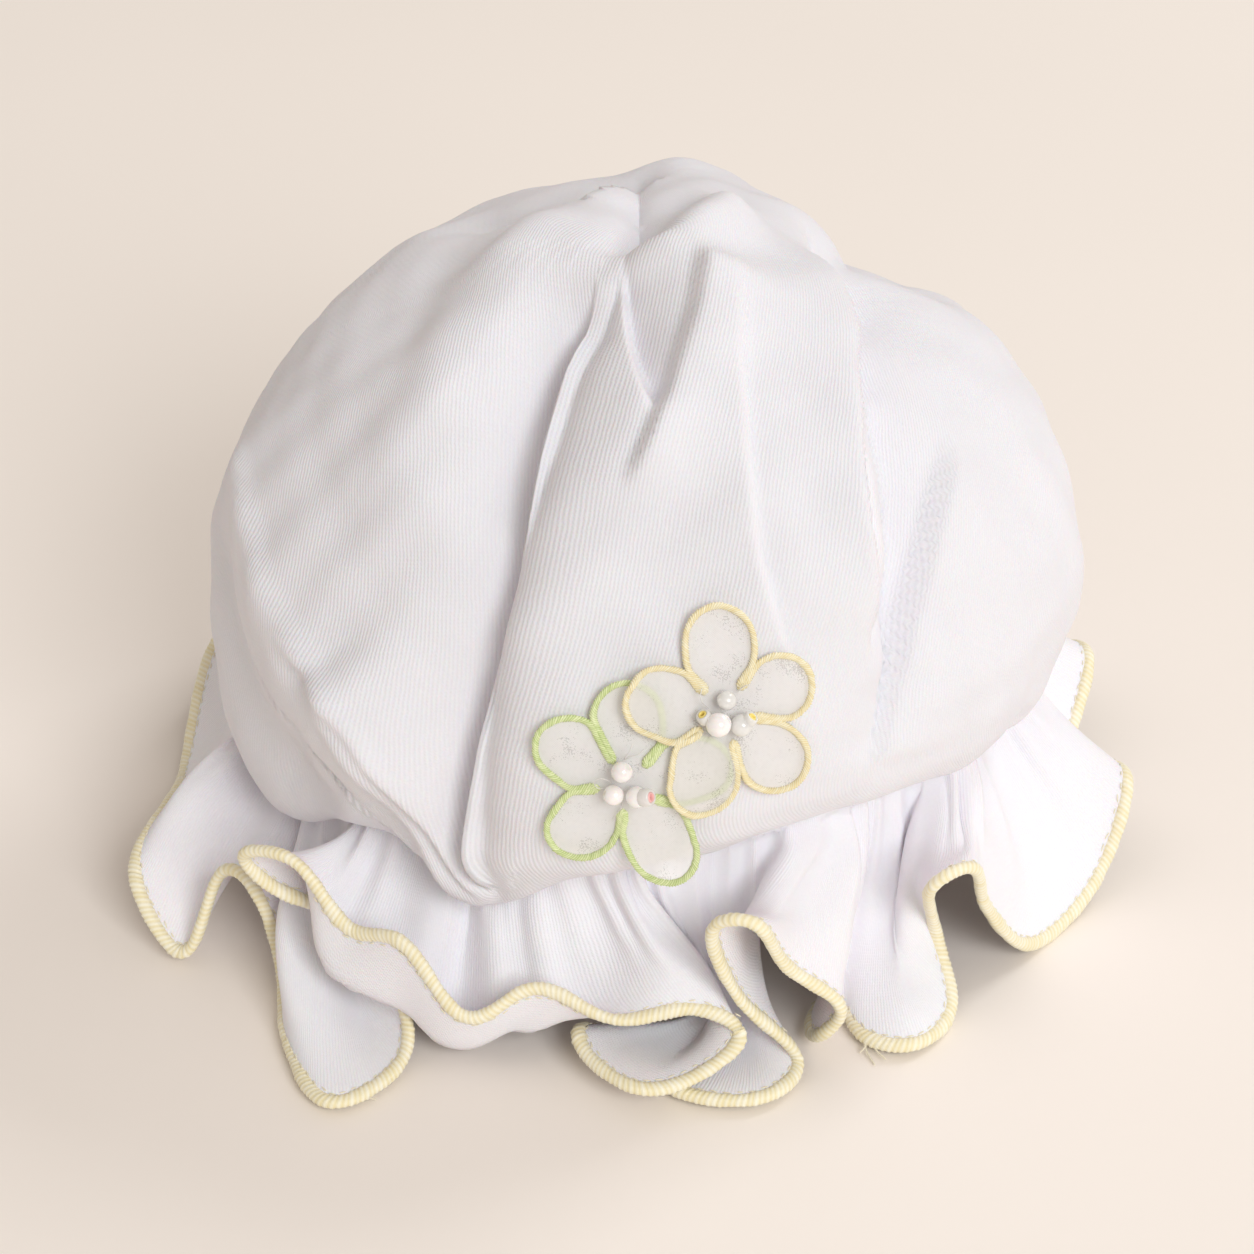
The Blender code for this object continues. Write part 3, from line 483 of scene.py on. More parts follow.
# Sharper lines of the front and the back seam, in millimetres. Each runs
# through places given by azimuth in degrees and share of the way down. Rise and
# reach are given for the left and the right of the line, and step is the width
# of the change.
crownLines = [
    # name, places, left rise, left reach, right rise, right reach, step
    ("front panel lap", [(-21, 0.115), (-17, 0.18), (-16.5, 0.25), (-17, 0.31), (-16, 0.40),
                         (-16.5, 0.47), (-18.5, 0.53), (-20, 0.62), (-21.5, 0.70),
                         (-20.5, 0.76), (-19.5, 0.80)], -5.4, 9.5, 2.8, 8.0, 0.9),
    ("facet left edge", [(-9, 0.10), (-6, 0.13), (-1.5, 0.19), (0.5, 0.23), (3.5, 0.268)],
     1.2, 5.0, -1.5, 5.0, 1.4),
    ("facet right edge", [(30, 0.11), (15.5, 0.175), (10, 0.205), (4, 0.26), (0.5, 0.295),
                          (-3.5, 0.33)], -1.6, 5.0, 1.9, 8.0, 2.0),
    ("rim", [(100, 0.095), (70, 0.085), (40, 0.08), (11, 0.10), (4, 0.095), (-6, 0.098),
             (-18, 0.125)], 1.2, 4.0, 1.0, 6.0, 2.0),
    ("second ridge", [(102, 0.21), (85, 0.225), (47.5, 0.27), (37.5, 0.345), (33.5, 0.405),
                      (34, 0.45), (30, 0.52)], 2.8, 9.0, -4.6, 8.0, 2.2),
    ("right panel edge", [(66, 0.36), (57, 0.385), (50, 0.415), (43, 0.465), (36, 0.54),
                          (29, 0.70)], -1.3, 7.0, 1.6, 10.0, 1.8),
    ("first ridge", [(43, 0.13), (26, 0.205), (19, 0.305), (17.5, 0.35), (17, 0.41),
                     (18.5, 0.46), (21, 0.52)], 0.8, 8.0, -0.9, 5.0, 1.6),
    ("left shoulder ridge", [(-70, 0.09), (-50, 0.155), (-44.5, 0.22), (-44, 0.305),
                             (-48, 0.42)], 1.2, 7.0, 1.2, 7.0, 3.0),
    ("left valley", [(-17, 0.12), (-26.5, 0.175), (-27, 0.27), (-24, 0.38)],
     -1.8, 6.0, -1.8, 6.0, 3.0),
    ("left side ridge", [(-85, 0.43), (-66, 0.455), (-55.5, 0.495), (-44, 0.535),
                         (-35, 0.585), (-29.5, 0.69)], 1.4, 6.0, -0.8, 8.0, 4.0),
    ("pleat", [(-52, 0.53), (-36, 0.585), (-31, 0.665), (-26, 0.75), (-20, 0.81)],
     -1.4, 6.0, 1.4, 8.0, 2.6),
    ("top seam", [(-165, 0.05), (-140, 0.028), (0, 0.012), (3, 0.05), (3, 0.09)],
     -1.1, 3.2, -1.1, 3.2, 1.6),
    ("back seam", [(176, 0.20), (172, 0.40), (170, 0.65), (172, 0.86)],
     0.8, 4.0, -1.2, 3.0, 0.8),
]

# How far the lower crown hangs: azimuth, share of the radius, half width
crownSags = [(-67, 0.17, 18), (-21, 0.12, 8), (28, -0.14, 30), (-125, 0.07, 30)]


def profilePoints():
    rise = crown["height"] - crown["equator"]
    step = crown["radius"] - crown["neckRadius"]
    drop = crown["equator"] - crown["neckHeight"]
    upper = [(r * crown["radius"], crown["equator"] + h * rise) for r, h in upperProfile]
    lower = [(crown["neckRadius"] + r * step, crown["neckHeight"] + h * drop)
             for r, h in lowerProfile]
    return np.array(upper + lower)


def baseProfile(v):
    # Radius and height at a share of the way from top to neck
    points = profilePoints()
    last = len(points) - 1
    x = np.clip(v, 0.0, 1.0) * last
    i = np.minimum(x.astype(int), last - 1)
    p1, p2 = points[i], points[i + 1]
    before, after = points[np.maximum(i - 1, 0)], points[np.minimum(i + 2, last)]
    level = np.stack([p2[..., 0] - p1[..., 0], np.zeros(i.shape)], axis=-1)
    leaving = np.where((i == 0)[..., None], level, (p2 - before) / 2.0)
    q = hermite((x - i)[..., None], p1, p2, leaving, (after - p1) / 2.0)
    return q[..., 0], q[..., 1]


def baseNormal(azimuth, v):
    step = 0.01
    r0, z0 = baseProfile(np.clip(v - step, 0.0, 1.0))
    r1, z1 = baseProfile(np.clip(v + step, 0.0, 1.0))
    dr, dz = r1 - r0, z1 - z0
    length = np.hypot(dr, dz)
    outward = np.where(v < step, 0.0, -dz / length)
    upward = np.where(v < step, 1.0, dr / length)
    return polar(azimuth, outward, upward)


def chartOf(places):
    # The crown laid flat, with its top in the middle and its front below
    azimuth, v = np.array(places, dtype=float).T
    return polar(np.radians(azimuth), v, v)[:, :2]


def foldPath(row, count=25):
    a, b, c = chartOf(np.reshape(row[1:7], (3, 2)))
    t = np.linspace(0.0, 1.0, count)[:, None]
    bend = 2.0 * b - 0.5 * (a + c)
    azimuth, v = flatPolar((1 - t) ** 2 * a + 2 * t * (1 - t) * bend + t**2 * c)
    return polar(azimuth, *baseProfile(v))


def lineChart(places, count=40, rounds=6):
    # A line through the places, rounded at its corners
    chart = chartOf(places)
    far = runningSum(lengthOf(np.diff(chart, axis=0)))
    flat = readLine(chart, far, np.linspace(0.0, far[-1], count))
    for _ in range(rounds):
        flat[1:-1] = (flat[:-2] + 2.0 * flat[1:-1] + flat[2:]) / 4.0
    return flatPolar(flat)


def nearestOnPath(path, points, normals):
    # Distance to the path, signed side of it, share of the way along it, and
    # the way to the left
    best = np.full(len(points), np.inf)
    side, along = np.zeros((2, len(points)))
    leftward = np.zeros(points.shape)
    last = len(path) - 1
    for k in range(last):
        edge = path[k + 1] - path[k]
        t = np.clip(((points - path[k]) @ edge) / max(edge @ edge, 1e-12), 0.0, 1.0)
        offset = points - (path[k] + t[:, None] * edge)
        distance = lengthOf(offset)
        nearer = distance < best
        across = np.cross(edge, normals)
        best = np.where(nearer, distance, best)
        side = np.where(nearer, -np.einsum("ij,ij->i", across, offset), side)
        along = np.where(nearer, (k + t) / last, along)
        leftward = np.where(nearer[:, None], across, leftward)
    return best, side, along, leftward


def endFade(along, reach):
    return smoothStep(along / reach) * smoothStep((1.0 - along) / reach)


def foldHeight(row, points, normals):
    best, side, along, _ = nearestOnPath(foldPath(row), points, normals)
    depth, left, right = (share * crown["radius"] for share in row[7:10])
    width = np.where(side < 0.0, left, right)
    return depth * endFade(along, crown["foldEnds"]) * np.exp(-((best / width) ** row[10]))


def lineHeight(row, points, normals):
    # Height at each point, and how strongly the right side laps to the left
    places, left, leftReach, right, rightReach, step = row[1:]
    azimuths, shares = lineChart(places)
    path = polar(azimuths, *baseProfile(shares))
    near = lengthOf(points[:, None] - path[None, ::4]).min(axis=1) < crown["lineReach"]
    best, side, along, leftward = nearestOnPath(path, points[near], normals[near])
    signed = np.where(side < 0.0, -best, best) * 1000.0
    toLeft, toRight = np.maximum(-signed, 0.0), np.maximum(signed, 0.0)
    onRight = smoothStep(signed / step + 0.5)
    low = left * np.exp(-((toLeft / leftReach) ** 1.4))
    high = right * np.exp(-((toRight / rightReach) ** 1.6))
    fade = endFade(along, crown["lineEnds"])
    share = fade * onRight * np.exp(-((toRight / crown["lapFade"]) ** 2))
    height, lap = np.zeros(len(points)), np.zeros(points.shape)
    height[near] = 0.001 * fade * (low * (1.0 - onRight) + high * onRight)
    lap[near] = unit(leftward) * share[:, None]
    return height, lap


def smallWrinkles(points):
    # Soft unevenness of cloth, as a few seeded waves
    draw = random.Random(5)
    height = np.zeros(len(points))
    for _ in range(crown["wrinkleWaves"]):
        wave = np.array([draw.gauss(0.0, 1.0) for _ in range(3)])
        wave *= fullTurn / (draw.uniform(*crown["wrinkleLengths"]) * np.linalg.norm(wave))
        height += crown["wrinkle"] * 0.35 * np.sin(points @ wave + draw.uniform(0.0, 6.3))
    return height


def sagDrop(azimuth):
    drop = np.zeros(np.shape(azimuth))
    for centre, depth, width in crownSags:
        turn = turnBetween(azimuth, math.radians(centre))
        drop = drop + depth * crown["radius"] * np.exp(-((turn / math.radians(width)) ** 2))
    return drop


def crownPoints(azimuth, v, fine=True):
    # The crown's cloth at an azimuth and a share of the way down. Fine adds the
    # sharper lines and the small wrinkles.
    points = polar(azimuth, *baseProfile(v))
    normals = baseNormal(azimuth, v)
    height = np.zeros(len(points))
    for row in crownFolds:
        height += foldHeight(row, points, normals)
    slide = np.zeros(points.shape)
    if fine:
        for row in crownLines:
            rise, lap = lineHeight(row, points, normals)
            height += rise
            if row[0] == "front panel lap":
                slide = lap * crown["lapOver"]
        height += smallWrinkles(points)
    height *= 1.0 - smoothFrom(v, *crown["foldsStop"])
    points = points + normals * height[:, None] + slide
    sag = smoothFrom(v, *crown["sagStarts"]) * (1.0 - smoothFrom(v, *crown["sagStops"]))
    points[:, 2] -= sagDrop(azimuth) * sag
    return points


def crownAzimuth(turn, v):
    # Columns run closer together at the front, and one follows the panel's lap
    azimuths, shares = lineChart(crownLines[0][1])
    front = np.cos(turn / 2.0) ** 4
    return turn - crown["frontPull"] * np.sin(turn) + np.interp(v, shares, azimuths) * front


def makeCrown(shift):
    mesh, around, down = startGrid(crown["columns"], crown["rings"])
    azimuth = crownAzimuth(around * fullTurn, down)
    points = crownPoints(azimuth, down) + shift
    radius = np.maximum(baseProfile(down)[0], crown["knitRadius"])
    crease = crownAzimuth(np.zeros(len(down)), down)
    fall = down * crown["wayDown"]
    # The knit runs straight down on the panel, and leans left of its edge
    runs = []
    for centre, lean in ((crease, 0.0), (crease + fullTurn, math.radians(crown["panelLean"]))):
        x = (azimuth - centre) * radius
        runs.append((x * math.cos(lean) + fall * math.sin(lean),
                     fall * math.cos(lean) - x * math.sin(lean)))
    placeGrid(mesh, points, *runs[0])
    layer = mesh.loops.layers.uv.active
    for face in mesh.faces:
        if sum(around[v.index] for v in face.verts) > 0.5 * len(face.verts):
            for loop in face.loops:
                loop[layer].uv = [run[loop.vert.index] for run in runs[1]]
    closeGrid(mesh)
    piece = addPiece("crownCloth", mesh, [jersey, jerseyWrong], "jersey", ["crown"])
    addWall(piece, crown["cloth"], -1.0)
    return piece


# Ruffle: columns of cloth from the neck through a middle to the hem

ruffle = {
    "radius": 0.080,
    "cloth": 0.0007,
    "cadCloth": 0.0012,
    "flat": (0.86, 0.042),
    "columns": 1040,
    "rings": 34,
    "columnLength": 0.0010,     # a column for this much hem,
    "columnBend": 0.25,         # or for this much bend of it in radians
    "hemDiameter": 0.0023,
    "gap": 0.0003,
    "clearance": 0.0007,
    "softness": 0.0018,
    "samples": 4000,
    "ankleOut": 0.08,
    "ankleSpread": 0.30,
    "ankleDrop": 0.38,
    "ankleTurn": 0.08,
    "gatherPitch": 0.0048,
    "gatherDepth": 0.0008,
}

# Ridges and valleys that run down the ruffle: neck azimuth and half width in
# degrees, rise in millimetres
ruffleRidges = [
    (-62, 3.0, -1.2), (-40, 2.4, 1.0), (-33, 2.4, -1.8), (-28, 2.2, 1.3), (-23, 2.2, -2.3),
    (-17, 2.0, -1.5), (-8, 5.0, 2.4), (5.5, 2.6, -2.2), (22, 2.4, -1.4), (30, 2.4, 1.0),
    (35, 2.6, -1.6), (44, 2.6, 0.9), (51, 2.4, -1.4), (57, 2.6, 1.2), (66, 2.6, -1.2),
    (84, 3.0, -1.0), (128, 3.4, -1.2), (162, 3.0, 1.0), (188, 3.4, -1.2), (222, 3.0, 1.0),
    (250, 3.4, -1.2)]

# How far down they reach, as shares of the way from neck to hem: start and
# length of the rise, start and length of the fall
gatherReach = (0.0, 0.12, 0.30, 0.55)
ridgeReach = (0.14, 0.30, 0.62, 0.34)

# Azimuths are in degrees, radii are shares of the step from neck to ruffle
# radius, heights are shares of the neck's height.
ruffleFolds = [
    # name, neck az, mid az, hem az, mid radius, mid height, hem radius, hem height
    ("left lobe crest", -86, -73, -66, 0.78, 0.50, 1.19, 0.29),
    ("left lobe trough", -79, -66, -58, 0.62, 0.26, 1.08, 0.00),
    ("left inner crest", -74, -63, -58, 0.46, 0.30, 0.76, 0.46),
    ("left inner fold", -71, -58, -54, 0.40, 0.26, 0.68, 0.38),
    ("left inner trough", -68, -50.5, -50, 0.36, 0.09, 0.66, 0.06),
    ("column left", -64, -47, -39, 0.74, 0.30, 1.08, 0.00),
    ("column foot", -60, -41, -30, 0.66, 0.14, 1.33, 0.00),
    ("column right", -57, -36.5, -27, 0.60, 0.04, 0.82, 0.02),
    ("column return right", -54, -36.5, -31, 0.36, 0.25, 0.57, 0.20),
    ("column return", -51.5, -41.5, -41, 0.36, 0.44, 0.50, 0.42),
    ("curl corner low", -50, -46, -47.5, 0.46, 0.54, 0.76, 0.60),
    ("curl corner", -48.5, -48, -49.5, 0.56, 0.68, 0.88, 0.80),
    ("curl top", -46, -44.5, -43, 0.60, 0.74, 0.76, 0.87),
    ("curl first dip", -41, -38, -36, 0.80, 0.36, 0.68, 0.54),
    ("curl second top", -36, -31, -29, 0.74, 0.24, 0.67, 0.61),
    ("curl second dip", -29, -23, -20, 0.68, 0.06, 0.70, 0.26),
    ("curl third top", -22, -15, -13, 0.54, 0.10, 0.50, 0.40),
    ("curl end", -13, -5.5, -3, 0.40, 0.24, 0.55, 0.27),
    ("tunnel roof", -4, 4.0, 7, 0.42, 0.44, 0.51, 0.31),
    ("tunnel turn", -1, 10, 12.5, 0.36, 0.38, 0.62, 0.20),
    ("tunnel floor right", 2, 9.5, 6, 0.34, 0.20, 0.78, 0.08),
    ("tunnel floor", 5.5, 8.5, 0, 0.31, 0.15, 0.86, 0.08),
    ("tunnel end", 8.5, 8, -7, 0.27, 0.11, 0.56, 0.09),
    ("tunnel back", 10, 8, -8, 0.24, 0.10, 0.42, 0.12),
    ("under tunnel left", 11.5, 9.5, -6, 0.20, 0.05, 0.28, 0.00),
    ("under tunnel", 13, 11, -2, 0.23, 0.05, 0.42, 0.00),
    ("front foot left", 14.5, 13, 5, 0.32, 0.04, 0.80, 0.00),
    ("front foot", 16, 15, 13.5, 0.46, 0.06, 0.90, 0.00),
    ("front foot turn", 18, 17.5, 19, 0.42, 0.15, 0.70, 0.02),
    ("front crest side", 21, 14, 12, 0.40, 0.47, 0.55, 0.38),
    ("front crest left", 24.5, 15, 8.5, 0.42, 0.78, 0.62, 0.88),
    ("front crest right", 28, 18, 12.5, 0.44, 0.80, 0.72, 0.94),
    ("front crest slope", 31.5, 22, 17.5, 0.40, 0.64, 0.62, 0.56),
    ("front crest low", 35, 27, 24.5, 0.40, 0.44, 0.68, 0.26),
    ("valley turn", 37.5, 27.5, 22, 0.34, 0.26, 0.56, 0.03),
    ("valley back left", 39.5, 29, 25, 0.20, 0.16, 0.30, 0.00),
    ("valley back right", 41, 31, 29, 0.20, 0.16, 0.32, 0.00),
    ("right foot left", 42.5, 32, 28, 0.36, 0.16, 0.62, 0.00),
    ("right foot", 45, 35, 32, 0.48, 0.20, 0.83, 0.00),
    ("right foot turn", 48, 37, 40, 0.44, 0.24, 0.72, 0.00),
    ("right crest side", 51, 41, 42, 0.34, 0.48, 0.46, 0.33),
    ("right crest left", 54.5, 43.5, 36.5, 0.42, 0.75, 0.68, 0.82),
    ("right crest right", 58, 49, 41.5, 0.42, 0.78, 0.72, 0.84),
    ("right crest slope", 63, 52, 47, 0.42, 0.60, 0.64, 0.44),
    ("right trough", 68, 60, 56, 0.44, 0.36, 0.72, 0.00),
    ("right side", 80, 73, 70, 0.48, 0.42, 0.88, 0.06),
    ("right lobe crest", 92, 84, 80, 0.52, 0.62, 0.96, 0.42),
    ("right back dip", 102, 96, 92, 0.42, 0.40, 0.66, 0.12),
    ("back right crest", 116, 108, 104, 0.50, 0.64, 0.92, 0.48),
    ("back right trough", 130, 125, 122, 0.46, 0.34, 0.84, 0.00),
    ("back crest 1", 146, 143, 142, 0.44, 0.62, 0.74, 0.46),
    ("back trough 1", 162, 161, 160, 0.48, 0.34, 0.90, 0.00),
    ("back crest 2", 178, 178, 178, 0.46, 0.64, 0.78, 0.50),
    ("back trough 2", 194, 196, 197, 0.48, 0.34, 0.88, 0.00),
    ("back crest 3", 210, 213, 214, 0.44, 0.60, 0.72, 0.44),
    ("back trough 3", 226, 230, 232, 0.46, 0.34, 0.86, 0.00),
    ("back left crest", 242, 247, 250, 0.50, 0.56, 0.84, 0.42),
    ("left back trough", 256, 264, 268, 0.48, 0.32, 0.82, 0.04),
    ("left back crest", 266, 275, 280, 0.46, 0.42, 0.80, 0.30),
]


def ruffleRows():
    # Neck turns, then the middle and the hem as points
    table = np.array([row[1:] for row in ruffleFolds], dtype=float).T
    step = ruffle["radius"] - crown["neckRadius"]
    rows = [np.radians(table[0])]
    for turn, radius, height, floor in ((1, 3, 4, ruffle["cadCloth"]),
                                        (2, 5, 6, ruffle["hemDiameter"] / 2.0)):
        rows.append(polar(np.radians(table[turn]), crown["neckRadius"] + table[radius] * step,
                          floor + table[height] * (crown["neckHeight"] - floor)))
    return rows


def soften(values, spacing):
    reach = int(3.0 * ruffle["softness"] / spacing)
    steps = np.arange(-reach, reach + 1) * spacing / ruffle["softness"]
    weights = np.exp(-0.5 * steps**2)
    weights /= weights.sum()
    return sum(weight * np.roll(values, k - reach, axis=0) for k, weight in enumerate(weights))


def ruffleControls(count):
    # Neck turn, middle, hem and distance along the hem for each column
    neck, mid, hem = ruffleRows()
    samples = ruffle["samples"]
    knots = runningSum(np.sqrt(lengthOf(roundSteps(hem))))
    rough = np.linspace(0.0, knots[-1], samples, endpoint=False)
    travelled = runningSum(lengthOf(roundSteps(splineThrough(hem, knots, rough))))
    spacing = travelled[-1] / samples
    fine = np.interp(np.arange(samples) * spacing, travelled, np.append(rough, knots[-1]))
    evenTurn = neck[0] + knots / knots[-1] * fullTurn
    rest = splineThrough(np.unwrap(neck) - evenTurn[:-1], knots, fine)
    turn = soften(rest, spacing) + np.interp(fine, knots, evenTurn)
    mid, hem = (soften(splineThrough(row, knots, fine), spacing) for row in (mid, hem))
    steps = roundSteps(hem)
    lengths, ahead = lengthOf(steps), unit(steps)
    bend = np.arccos(np.clip(np.sum(ahead * np.roll(ahead, -1, axis=0), axis=1), -1.0, 1.0))
    cost = np.cumsum(lengths / ruffle["columnLength"] + bend / ruffle["columnBend"])
    pick = np.searchsorted(cost, np.arange(count) / count * cost[-1])
    return turn[pick], mid[pick], hem[pick], runningSum(lengths)[pick], lengths.sum()


def crownUnderside(turns=120, levels=18, start=0.60):
    # Radius and height of the lower crown, as grids of turns and levels
    azimuth = np.repeat(np.arange(turns) / turns * fullTurn, levels)
    points = crownPoints(azimuth, np.tile(np.linspace(start, 1.0, levels), turns), False)
    return flatPolar(points)[1].reshape(turns, levels), points[:, 2].reshape(turns, levels)


def crownBottom(turn, underside):
    lowest = underside[1].min(axis=1)
    count = len(lowest)
    return np.interp(turn / fullTurn * count, np.arange(count), lowest, period=count)


def clearOfCrown(points, clearance, underside):
    # Pushes cloth out of the crown's lower bulge, in each point's upright plane
    turns, levels = underside[0].shape
    turn, radius = flatPolar(points)
    place = (turn / fullTurn % 1.0) * turns
    i = place.astype(int) % turns
    t = (place - np.floor(place))[:, None]
    wall = np.stack([grid[i] * (1 - t) + grid[(i + 1) % turns] * t for grid in underside], axis=-1)
    here = np.stack([radius, points[:, 2]], axis=1)
    best = np.full(len(points), np.inf)
    near, outward = np.zeros((2, len(points), 2))
    for j in range(levels - 1):
        edge = wall[:, j + 1] - wall[:, j]
        share = np.sum((here - wall[:, j]) * edge, axis=1) / np.sum(edge * edge, axis=1)
        foot = wall[:, j] + np.clip(share, 0.0, 1.0)[:, None] * edge
        distance = lengthOf(here - foot)
        nearer = (distance < best)[:, None]
        best = np.minimum(best, distance)
        near = np.where(nearer, foot, near)
        across = unit(np.stack([-edge[:, 1], edge[:, 0]], axis=1))
        outward = np.where(nearer, across, outward)
    depth = np.sum((here - near) * outward, axis=1)
    moved = np.where((depth < clearance)[:, None], near + outward * clearance, here)
    return polar(turn, *moved.T)


def ruffleStations(turn, mid, hem, underside, clearance):
    # Four places on each column: top, ankle, middle and hem
    neckHeight = crown["neckHeight"]
    topRadius = crown["neckRadius"] - ruffle["cadCloth"] / 2.0 - ruffle["gap"]
    level = np.ones(len(turn))
    top = polar(turn, topRadius * level, (neckHeight - ruffle["gap"]) * level)
    midTurn, midRadius = flatPolar(mid)
    ankleTurn = turn + ruffle["ankleTurn"] * turnBetween(midTurn, turn)
    height = neckHeight - ruffle["ankleDrop"] * (neckHeight - mid[:, 2])
    height = np.minimum(height, crownBottom(ankleTurn, underside) - clearance)
    share = ruffle["ankleOut"] + ruffle["ankleSpread"] * mid[:, 2] / neckHeight
    ankle = polar(ankleTurn, topRadius + share * (midRadius - topRadius), height)
    return np.stack([top, ankle, mid, hem])


def gatherRelief(turn):
    # Small gathers below the neck, neither evenly spaced nor evenly deep
    phase = turn * crown["neckRadius"] / ruffle["gatherPitch"]
    phase = phase + 0.45 * np.sin(turn * 7.0) + 0.3 * np.sin(turn * 17.0 + 1.0)
    wave = 2.0 * np.sqrt(np.sin(math.pi * phase) ** 2 + 0.04) - 1.35
    return ruffle["gatherDepth"] * wave * (1.0 + 0.5 * np.sin(turn * 11.0 + 2.0))


def ridgeRelief(turn):
    relief = np.zeros(len(turn))
    for azimuth, width, rise in ruffleRidges:
        apart = np.degrees(turnBetween(turn, math.radians(azimuth)))
        relief += 0.001 * rise * np.exp(-((apart / width) ** 2))
    return relief


def ruffleColumns(count, rings, steps=16):
    # Columns from neck to hem, as an array of rings of columns
    turn, mid, hem, distance, total = ruffleControls(count)
    underside = crownUnderside()
    clearance = ruffle["cadCloth"] / 2.0 + ruffle["clearance"]
    stations = ruffleStations(turn, mid, hem, underside, clearance)
    spans = lengthOf(np.diff(stations, axis=0))[..., None] ** 0.75
    slopes = np.diff(stations, axis=0) / spans
    inner = (slopes[:-1] * spans[1:] + slopes[1:] * spans[:-1]) / (spans[:-1] + spans[1:])
    tangents = np.concatenate([slopes[:1], inner, slopes[-1:]])
    last = len(spans) * steps
    fine = []
    for step in range(last + 1):
        k = min(step // steps, len(spans) - 1)
        fine.append(hermite(step / steps - k, stations[k], stations[k + 1],
                            spans[k] * tangents[k], spans[k] * tangents[k + 1]))
    fine = np.array(fine)
    for j in range(1, last):
        fine[j] = clearOfCrown(fine[j], clearance, underside)
    lengths = lengthOf(np.diff(fine, axis=0))
    travelled = np.concatenate([np.zeros((1, count)), np.cumsum(lengths, axis=0)])
    levels = np.linspace(0.0, 1.0, rings + 1)
    columns = np.stack([readLine(fine[:, i], travelled[:, i], levels * travelled[-1, i])
                        for i in range(count)], axis=1)
    across = np.roll(columns, -1, axis=1) - np.roll(columns, 1, axis=1)
    normals = unit(np.cross(across, np.gradient(columns, axis=0)))
    for relief, reach in ((gatherRelief(turn), gatherReach), (ridgeRelief(turn), ridgeReach)):
        fade = smoothFrom(levels, *reach[:2]) * (1.0 - smoothFrom(levels, *reach[2:]))
        columns += normals * (fade[:, None] * relief)[..., None]
    return columns, hem, distance, total, travelled[-1]


def makeRuffle(shift):
    # The piece, and its hem as a closed line: points, the way inwards at each,
    # their distance along it, and its length
    count, rings = ruffle["columns"], ruffle["rings"]
    columns, hem, distance, total, lengths = ruffleColumns(count, rings)
    mesh, around, down = startGrid(count, rings)
    i = np.rint(around * count).astype(int)
    j = np.rint(down * rings).astype(int)
    wales = np.append(distance, total)[i]
    courses = np.append(lengths, lengths[0])[i] * down
    placeGrid(mesh, columns[j, i % count] + shift, wales, courses)
    closeGrid(mesh)
    piece = addPiece("ruffleCloth", mesh, [ruffleLitJersey, jerseyWrong], "jersey", ["ruffle"])
    addWall(piece, ruffle["cloth"], 0.0)
    return piece, (hem + shift, unit(columns[-3] - columns[-1]), distance, total)


# Hem: overlock thread wound over the ruffle's edge

hem = {
    "width": 0.0023,
    "thickness": 0.0019,
    "threadPitch": 0.00082,
    "slant": 0.00042,
    "sides": 12,
    "valley": 0.89,
    "lumps": 0.05,
    "dashPitch": 0.0021,
    "dashLength": 0.00125,
    "dashWidth": 0.00026,
    "endWidth": 0.00025,
    "endFloor": 0.0003,
}

# Loose ends of thread: share of the way round, length, lean
hemEnds = [(0.4624, 0.0036, 0.8), (0.4630, 0.0027, 0.2), (0.4637, 0.0031, -0.5),
           (0.4641, 0.0022, 1.3), (0.1012, 0.0024, 0.6), (0.7310, 0.0030, -0.7)]

# A cord's slow swelling: length of each wave, and its share of the size
cordWaves = ((0.0141, 0.04), (0.006, 0.03))

# How far along a line its direction is read
directionReach = 0.0004


def frameAlong(edge, where):
    # Centre, way ahead, side and face of a closed line at any distance
    line, side, distance, total = edge
    ahead = unit(readLine(line, distance, where + directionReach, total)
                 - readLine(line, distance, where - directionReach, total))
    across = readLine(side, distance, where, total)
    across = unit(across - ahead * np.sum(across * ahead, axis=1)[:, None])
    return readLine(line, distance, where, total), ahead, across, np.cross(ahead, across)


def windCord(edge, cord, seed):
    # A thread wound round a closed line, two rings of points for each turn
    draw = random.Random(seed)
    total = edge[3]
    turns = int(round(total / cord["threadPitch"]))
    mesh, along, around = startGrid(2 * turns, cord["sides"])
    section = np.rint(along * 2 * turns).astype(int)
    angle = around * fullTurn
    swell = [1.0 + cord["lumps"] * draw.uniform(-1.0, 1.0) for _ in range(turns)]
    bulge = [size for each in swell for size in (cord["valley"], each)]
    where = along * total + cord["slant"] * np.cos(angle)
    slow = 1.0 + sum(share * np.sin(where / length * fullTurn) for length, share in cordWaves)
    knots = np.array([draw.uniform(-1.0, 1.0) for _ in range(max(4, turns // 3))])
    slow += cord["lumps"] * np.interp(along * len(knots), np.arange(len(knots) + 1),
                                      np.append(knots, knots[0]))
    centre, ahead, across, face = frameAlong(edge, where)
    size = np.array(bulge + bulge[:1])[section] * slow
    points = (centre + across * (size * np.cos(angle) * cord["width"] / 2.0)[:, None]
              + face * (size * np.sin(angle) * cord["thickness"] / 2.0)[:, None])
    placeGrid(mesh, points, along * turns, around)
    closeGrid(mesh)
    return mesh


